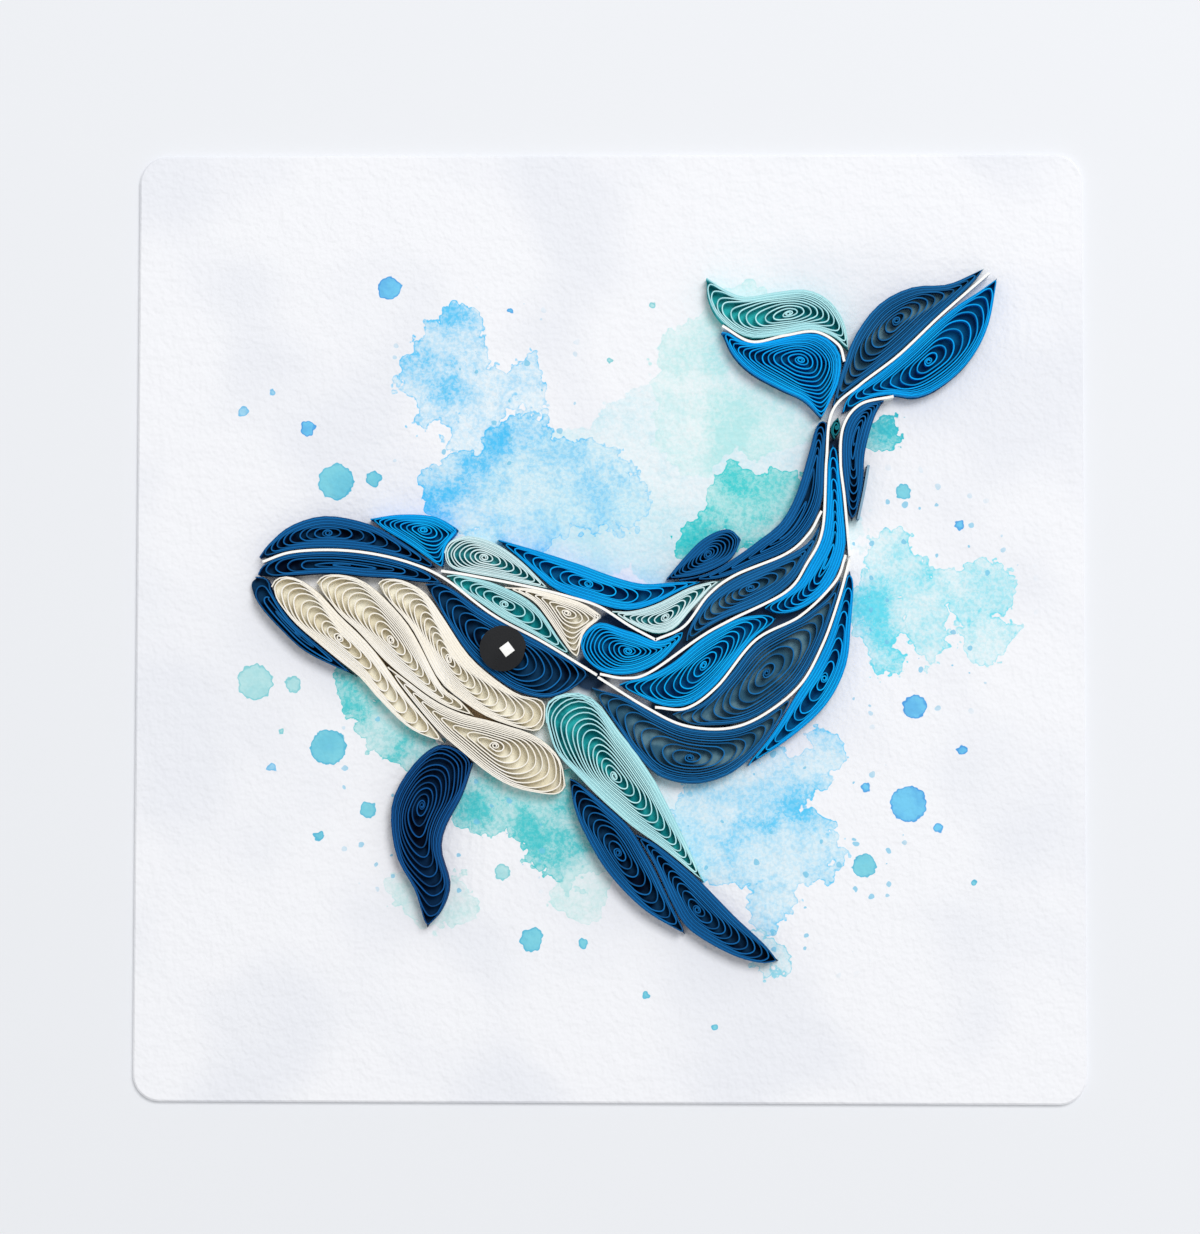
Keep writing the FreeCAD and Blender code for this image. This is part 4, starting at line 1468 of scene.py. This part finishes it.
    def point(self, turn: float) -> Vector:
        """The strip's place after so many turns."""
        if turn > self.turns:
            return self.core_point(turn)
        upper, lower, first_end, last_end = self.loop(turn)
        inset = (upper + lower) / 2
        phase = math.tau * (turn % 1.0)
        share = first_end + (last_end - first_end) * (1 - math.cos(phase)) / 2
        middle = self.middle(share)
        half = self.half_width(share)
        if half < SAME_PLACE:
            return middle
        upwards = (self.upper.at(share) - middle) / half
        room = max(half - inset, 0.0)
        reach = (last_end - first_end) * self.length / 2
        stretch = self.stock.cap_stretch
        first_round = min(stretch * max(self.half_width(first_end) - inset, self.least_half), reach)
        last_round = min(stretch * max(self.half_width(last_end) - inset, self.least_half), reach)
        to_first = min((share - first_end) * self.length / first_round, 1.0)
        to_last = min((last_end - share) * self.length / last_round, 1.0)
        cap = math.sqrt(max(1 - (1 - to_first) ** 2, 0)) * math.sqrt(max(1 - (1 - to_last) ** 2, 0))
        side = 1.0 if phase < math.pi else -1.0
        aside = (lower - upper) / 2 * min(room / max(self.widest - inset, self.least_half), 1.0)
        return middle + upwards * (aside + side * room * cap)

    def core_point(self, turn: float) -> Vector:
        """The strip's place in the small hook at the roll's heart, where the winding tool held it."""
        past = (turn - self.turns) / self.stock.core_turns
        phase = math.tau * (turn % 1.0)
        upper, lower, first_end, last_end = self.loop(self.turns)
        heart = (first_end + last_end) / 2 * (1.0 - past) + self.centre * past
        reach = (last_end - first_end) / 2 * (1.0 - self.stock.core_shortening * past)
        share = heart - reach * math.cos(phase)
        across = (self.upper.at(share) - self.lower.at(share)).normalized()
        short_half = self.core_half * (1.0 - self.stock.core_flattening * past)
        return self.middle(share) + across * ((lower - upper) / 2 + short_half * math.sin(phase))

    def path(self) -> list[Vector]:
        """The strip's middle line from its glued outer end to its heart, in millimetres above the card.

        Returns:
            The points, each with the small lift of the strip's uneven edge as its height.
        """
        end = self.turns + self.stock.core_turns
        steps = int(end * self.stock.steps_a_turn)
        turns = [end * step / steps for step in range(steps + 1)]
        flat = [self.point(turn) for turn in turns]
        lifted = [Vector((point.x, point.y, self.lift(turn))) for point, turn in zip(flat, turns)]
        return thin_path(lifted, self.stock.curve_error)

    def lift(self, turn: float) -> float:
        """How high the strip's edge stands after so many turns, which changes from layer to layer."""
        layer = int(turn)
        part = min((turn - layer) * self.stock.lift_changes_a_turn, 1.0)
        earlier = self.lifts[max(layer - 1, 0)]
        return self.stock.uneven_top * (earlier + (self.lifts[layer] - earlier) * part)

    def gap_shade(self) -> list[Vector]:
        """The outline of the raised sheet of painted shade and light under the turns, just inside the outer
        turn.

        Returns:
            The corners, once round.
        """
        steps = self.stock.gap_shade_steps
        forth = [(self.upper, step / steps) for step in range(steps + 1)]
        back = [(self.lower, step / steps) for step in range(steps - 1, 0, -1)]
        corners = []
        for side, share in forth + back:
            corner = side.at(share)
            inwards = self.middle(share) - corner
            depth = min(self.stock.paper * self.stock.gap_shade_inset, inwards.length * self.stock.gap_shade_narrowing)
            corners.append(corner + inwards.normalized() * depth)
        return corners


@dataclass
class StripMaker:
    """Stands paper strips on edge: a path becomes a thin standing ribbon."""

    finishes: dict[Paper, bpy.types.Material] = field(default_factory=dict)
    gap_shade_finishes: dict[Paper, bpy.types.Material] = field(default_factory=dict)

    def finish(self, paper: Paper) -> bpy.types.Material:
        """Gives a paper's material, made once."""
        if paper not in self.finishes:
            self.finishes[paper] = paper.value.make("quilling_" + paper.name.lower())
        return self.finishes[paper]

    def gap_shade_finish(self, paper: Paper) -> bpy.types.Material:
        """Gives the material of the painted shade and light under a paper's turns, made once."""
        if paper not in self.gap_shade_finishes:
            self.gap_shade_finishes[paper] = paper.value.make_gap_shade("bed_" + paper.name.lower())
        return self.gap_shade_finishes[paper]

    def lay_gap_shade(self, roll: bpy.types.Object, corners: list[Vector], floor: float, depth: float,
                paper: Paper) -> None:
        """Lays the raised sheet of painted shade and light under a roll and makes it one piece with the roll.

        Args:
            roll: The roll.
            corners: The sheet's outline in millimetres.
            floor: The height in metres that it lies on.
            depth: Its thickness in millimetres.
            paper: The roll's paper.
        """
        outline = [Vector((corner.x, corner.y, 0.0)) for corner in corners]
        gap_shade = self.draw(roll.name + "_bed", outline, floor, True)
        bpy.ops.object.mode_set(mode="EDIT")
        bpy.ops.mesh.select_all(action="SELECT")
        bpy.ops.mesh.edge_face_add()
        bpy.ops.mesh.extrude_region_move(TRANSFORM_OT_translate={"value": (0.0, 0.0, depth * MM)})
        bpy.ops.mesh.select_all(action="SELECT")
        bpy.ops.mesh.normals_make_consistent(inside=False)
        bpy.ops.object.mode_set(mode="OBJECT")
        paint(gap_shade, self.gap_shade_finish(paper))
        make_active(roll)
        gap_shade.select_set(True)
        bpy.ops.object.join()

    def draw(self, name: str, path: list[Vector], floor: float, closed: bool = False) -> bpy.types.Object:
        """Draws the strip's lower edge as a wire.

        Args:
            name: The piece's name.
            path: The middle line in millimetres, with its lift as the height.
            floor: The height in metres that the strip stands on.
            closed: Whether the wire runs back to its start.

        Returns:
            The wire.
        """
        deselect()
        curve = bpy.data.curves.new(name, "CURVE")
        curve.dimensions = "3D"
        spline = curve.splines.new("POLY")
        spline.use_cyclic_u = closed
        spline.points.add(len(path) - 1)
        for knot, point in zip(spline.points, path):
            knot.co = (point.x * MM, point.y * MM, floor + point.z * MM, 1.0)
        piece = bpy.data.objects.new(name, curve)
        bpy.context.scene.collection.objects.link(piece)
        make_active(piece)
        bpy.ops.object.convert(target="MESH")
        return bpy.context.view_layer.objects.active

    def stand(self, name: str, path: list[Vector], floor: float, height: float, thick: float,
              paper: Paper) -> bpy.types.Object:
        """Makes one standing strip.

        Args:
            name: The piece's name.
            path: The middle line in millimetres.
            floor: The height in metres that it stands on.
            height: The strip's width in metres, which is its height now.
            thick: The paper's thickness in millimetres.
            paper: The paper it is cut from.

        Returns:
            The strip.
        """
        piece = self.draw(name, path, floor)
        bpy.ops.object.mode_set(mode="EDIT")
        bpy.ops.mesh.select_all(action="SELECT")
        bpy.ops.mesh.extrude_region_move(TRANSFORM_OT_translate={"value": (0.0, 0.0, height)})
        bpy.ops.object.mode_set(mode="OBJECT")
        bpy.ops.object.modifier_add(type="SOLIDIFY")
        body = piece.modifiers[-1]
        body.thickness = thick * MM
        body.offset = 0.0
        body.use_even_offset = False
        bpy.ops.object.modifier_apply(modifier=body.name)
        bpy.ops.object.mode_set(mode="EDIT")
        bpy.ops.mesh.select_all(action="SELECT")
        bpy.ops.mesh.normals_make_consistent(inside=False)
        bpy.ops.object.mode_set(mode="OBJECT")
        bpy.ops.object.shade_smooth_by_angle(angle=SHARP_ANGLE)
        paint(piece, self.finish(paper))
        return piece


@dataclass
class Whale:
    """The whale's rolls and the single strips between them."""

    layout: Layout
    stock: StripStock
    maker: StripMaker

    def build_roll(self, coil: Coil) -> None:
        """Rolls one coil with its real turns and stands it where its solid is."""
        low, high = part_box(coil.node)
        height = high[2] - low[2] - self.stock.uneven_top * MM
        roll = Roll(self.stock, self.layout, coil)
        name = coil.node + "_roll"
        piece = self.maker.stand(name, roll.path(), low[2], height, self.stock.paper, coil.paper)
        # Painted shade and light: a raised sheet under the turns, which shows in the gaps between them.
        self.maker.lay_gap_shade(piece, roll.gap_shade(), low[2], self.stock.gap_shade_depth, coil.paper)
        self.settle(piece, coil.node)

    def build_strip(self, strip: EdgeStrip) -> None:
        """Stands one single strip where its solid is."""
        low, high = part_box(strip.node)
        knots = [self.layout.template.place(pixel) for pixel in strip.points]
        places = smooth_run(knots, self.stock.single_steps)
        path = [Vector((point.x, point.y, 0.0)) for point in places]
        name = strip.node + "_strip"
        piece = self.maker.stand(name, path, low[2], high[2] - low[2], self.stock.single, strip.paper)
        self.settle(piece, strip.node)

    def settle(self, piece: bpy.types.Object, node: str) -> None:
        """Ties a piece to the frame, in place of its solid.

        Args:
            piece: The piece.
            node: The solid that it replaces.
        """
        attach(piece, BODY)
        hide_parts(node)
        LOG.info("%s: %d corners", piece.name, len(piece.data.vertices))

    def build(self) -> None:
        """Builds every roll and every single strip."""
        for coil in COILS:
            self.build_roll(coil)
        for strip in EDGE_STRIPS:
            self.build_strip(strip)


@dataclass
class Eye:
    """The tight black roll that lies on the strips, and the white square glued on it.

    Both places are in pixels. Lengths are in millimetres and the glint's turn is in degrees.
    """

    template: Template
    maker: StripMaker
    place: Pixel = (503, 650)
    radius: float = 3.7
    paper: float = 0.19
    pitch: float = 0.205
    heart_turns: float = 0.6
    steps_a_turn: int = 40
    glint_place: Pixel = (507.6, 650.6)
    glint_side: float = 1.75
    glint_turn: float = 37.0
    glint_rounding: float = 0.04
    glint_segments: int = 2

    def build_roll(self) -> None:
        """Winds the eye from its outside to its heart."""
        low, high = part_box("eye")
        heart = self.template.place(self.place)
        outer = self.radius - self.paper / 2
        turns = (outer - self.pitch * self.heart_turns) / self.pitch
        steps = int(turns * self.steps_a_turn)
        path = []
        for step in range(steps + 1):
            turn = turns * step / steps
            away = outer - self.pitch * turn
            angle = math.tau * turn
            across = heart.x + away * math.cos(angle)
            up = heart.y + away * math.sin(angle)
            path.append(Vector((across, up, 0.0)))
        piece = self.maker.stand("eye_roll", path, low[2], high[2] - low[2], self.paper, Paper.BLACK)
        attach(piece, BODY)
        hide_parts("eye")
        LOG.info("eye_roll: %.1f turns", turns)

    def build_glint(self) -> None:
        """Cuts the small white square and softens its edges."""
        low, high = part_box("glint")
        middle = self.template.place(self.glint_place)
        thick = high[2] - low[2]
        deselect()
        bpy.ops.mesh.primitive_cube_add(
            size=1.0,
            location=(middle.x * MM, middle.y * MM, (low[2] + high[2]) / 2),
            rotation=(0.0, 0.0, math.radians(self.glint_turn)),
            scale=(self.glint_side * MM, self.glint_side * MM, thick),
        )
        piece = bpy.context.view_layer.objects.active
        piece.name = "glint_square"
        bpy.ops.object.transform_apply(location=True, rotation=True, scale=True)
        bpy.ops.object.modifier_add(type="BEVEL")
        bevel = piece.modifiers[-1]
        bevel.width = self.glint_rounding * MM
        bevel.segments = self.glint_segments
        bpy.ops.object.modifier_apply(modifier=bevel.name)
        bpy.ops.object.shade_smooth_by_angle(angle=SHARP_ANGLE)
        paint(piece, self.maker.finish(Paper.WHITE))
        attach(piece, BODY)
        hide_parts("glint")

    def build(self) -> None:
        """Builds the eye and its glint."""
        self.build_roll()
        self.build_glint()


@dataclass
class Studio:
    """The pale floor, the soft light and the camera.

    The floor and the lamp are in metres. The camera's place, lens and sensor are in millimetres, its turn is
    in degrees, and its nearest and furthest sight are in metres.
    """

    floor_colour: Colour = (236, 238, 242)
    floor_side: float = 6.0
    floor_height: float = -0.00005
    floor_cuts: int = 3
    floor_roughness: float = 0.7
    floor_specular: float = 0.2
    lamp_place: Triple = (0.55, 0.75, 1.80)
    lamp_side: float = 0.80
    lamp_watts: float = 22.5
    sky_colour: Colour = (255, 255, 255)
    sky_strength: float = 0.55
    lens: float = 85.0
    sensor: float = 36.0
    camera_place: Triple = (7.44, -18.26, 461.55)
    camera_turn: Triple = (2.454, 1.098, 0.093)
    sight: Span = (0.01, 20.0)

    def lay_floor(self) -> None:
        """Lays the plain floor under the card."""
        deselect()
        bpy.ops.mesh.primitive_plane_add(size=self.floor_side, location=(0.0, 0.0, self.floor_height))
        floor = bpy.context.view_layer.objects.active
        floor.name = "pale_floor"
        bpy.ops.object.mode_set(mode="EDIT")
        bpy.ops.mesh.subdivide(number_cuts=self.floor_cuts)
        bpy.ops.object.mode_set(mode="OBJECT")
        finish = Finish("pale_floor_paint", self.floor_roughness, self.floor_specular)
        finish.colour(Pigment(finish.bench, self.floor_colour))
        paint(floor, finish.material)

    def hang_lamp(self) -> None:
        """Hangs the wide soft lamp to the upper right."""
        deselect()
        bpy.ops.object.light_add(type="AREA", location=self.lamp_place)
        lamp = bpy.context.view_layer.objects.active
        lamp.name = "soft_lamp"
        lamp.data.size = self.lamp_side
        lamp.data.energy = self.lamp_watts
        lamp.rotation_euler = Vector(self.lamp_place).to_track_quat("Z", "Y").to_euler()

    def light_sky(self) -> None:
        """Fills the room with even light."""
        scene = bpy.context.scene
        world = scene.world or bpy.data.worlds.new("even_light")
        scene.world = world
        world.use_nodes = True
        sky = world.node_tree.nodes["Background"]
        sky.inputs["Color"].default_value = linear(self.sky_colour)
        sky.inputs["Strength"].default_value = self.sky_strength

    def place_camera(self) -> None:
        """Looks down at the card as the photographer did."""
        deselect()
        place = tuple(value * MM for value in self.camera_place)
        turn = tuple(math.radians(value) for value in self.camera_turn)
        bpy.ops.object.camera_add(location=place, rotation=turn)
        camera = bpy.context.view_layer.objects.active
        camera.name = "camera"
        camera.data.lens = self.lens
        camera.data.sensor_width = self.sensor
        camera.data.sensor_fit = "AUTO"
        camera.data.clip_start, camera.data.clip_end = self.sight
        bpy.context.scene.camera = camera

    def build(self) -> None:
        """Sets up the floor, the lights, the camera and the plain view."""
        self.lay_floor()
        self.hang_lamp()
        self.light_sky()
        self.place_camera()
        bpy.context.scene.view_settings.view_transform = "Standard"


def main() -> None:
    """Loads the frame and dresses it, piece by piece."""
    logging.basicConfig(level=logging.INFO, format="%(message)s")
    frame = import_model()
    template = Template()
    maker = StripMaker()
    Card(template).dress(frame["nodes"]["card"])
    LOG.info("card: painted")
    stock = StripStock()
    layout = Layout(template, stock)
    layout.survey()
    Whale(layout, stock, maker).build()
    Eye(template, maker).build()
    Studio().build()
    bpy.context.view_layer.update()


if __name__ == "__main__":
    main()
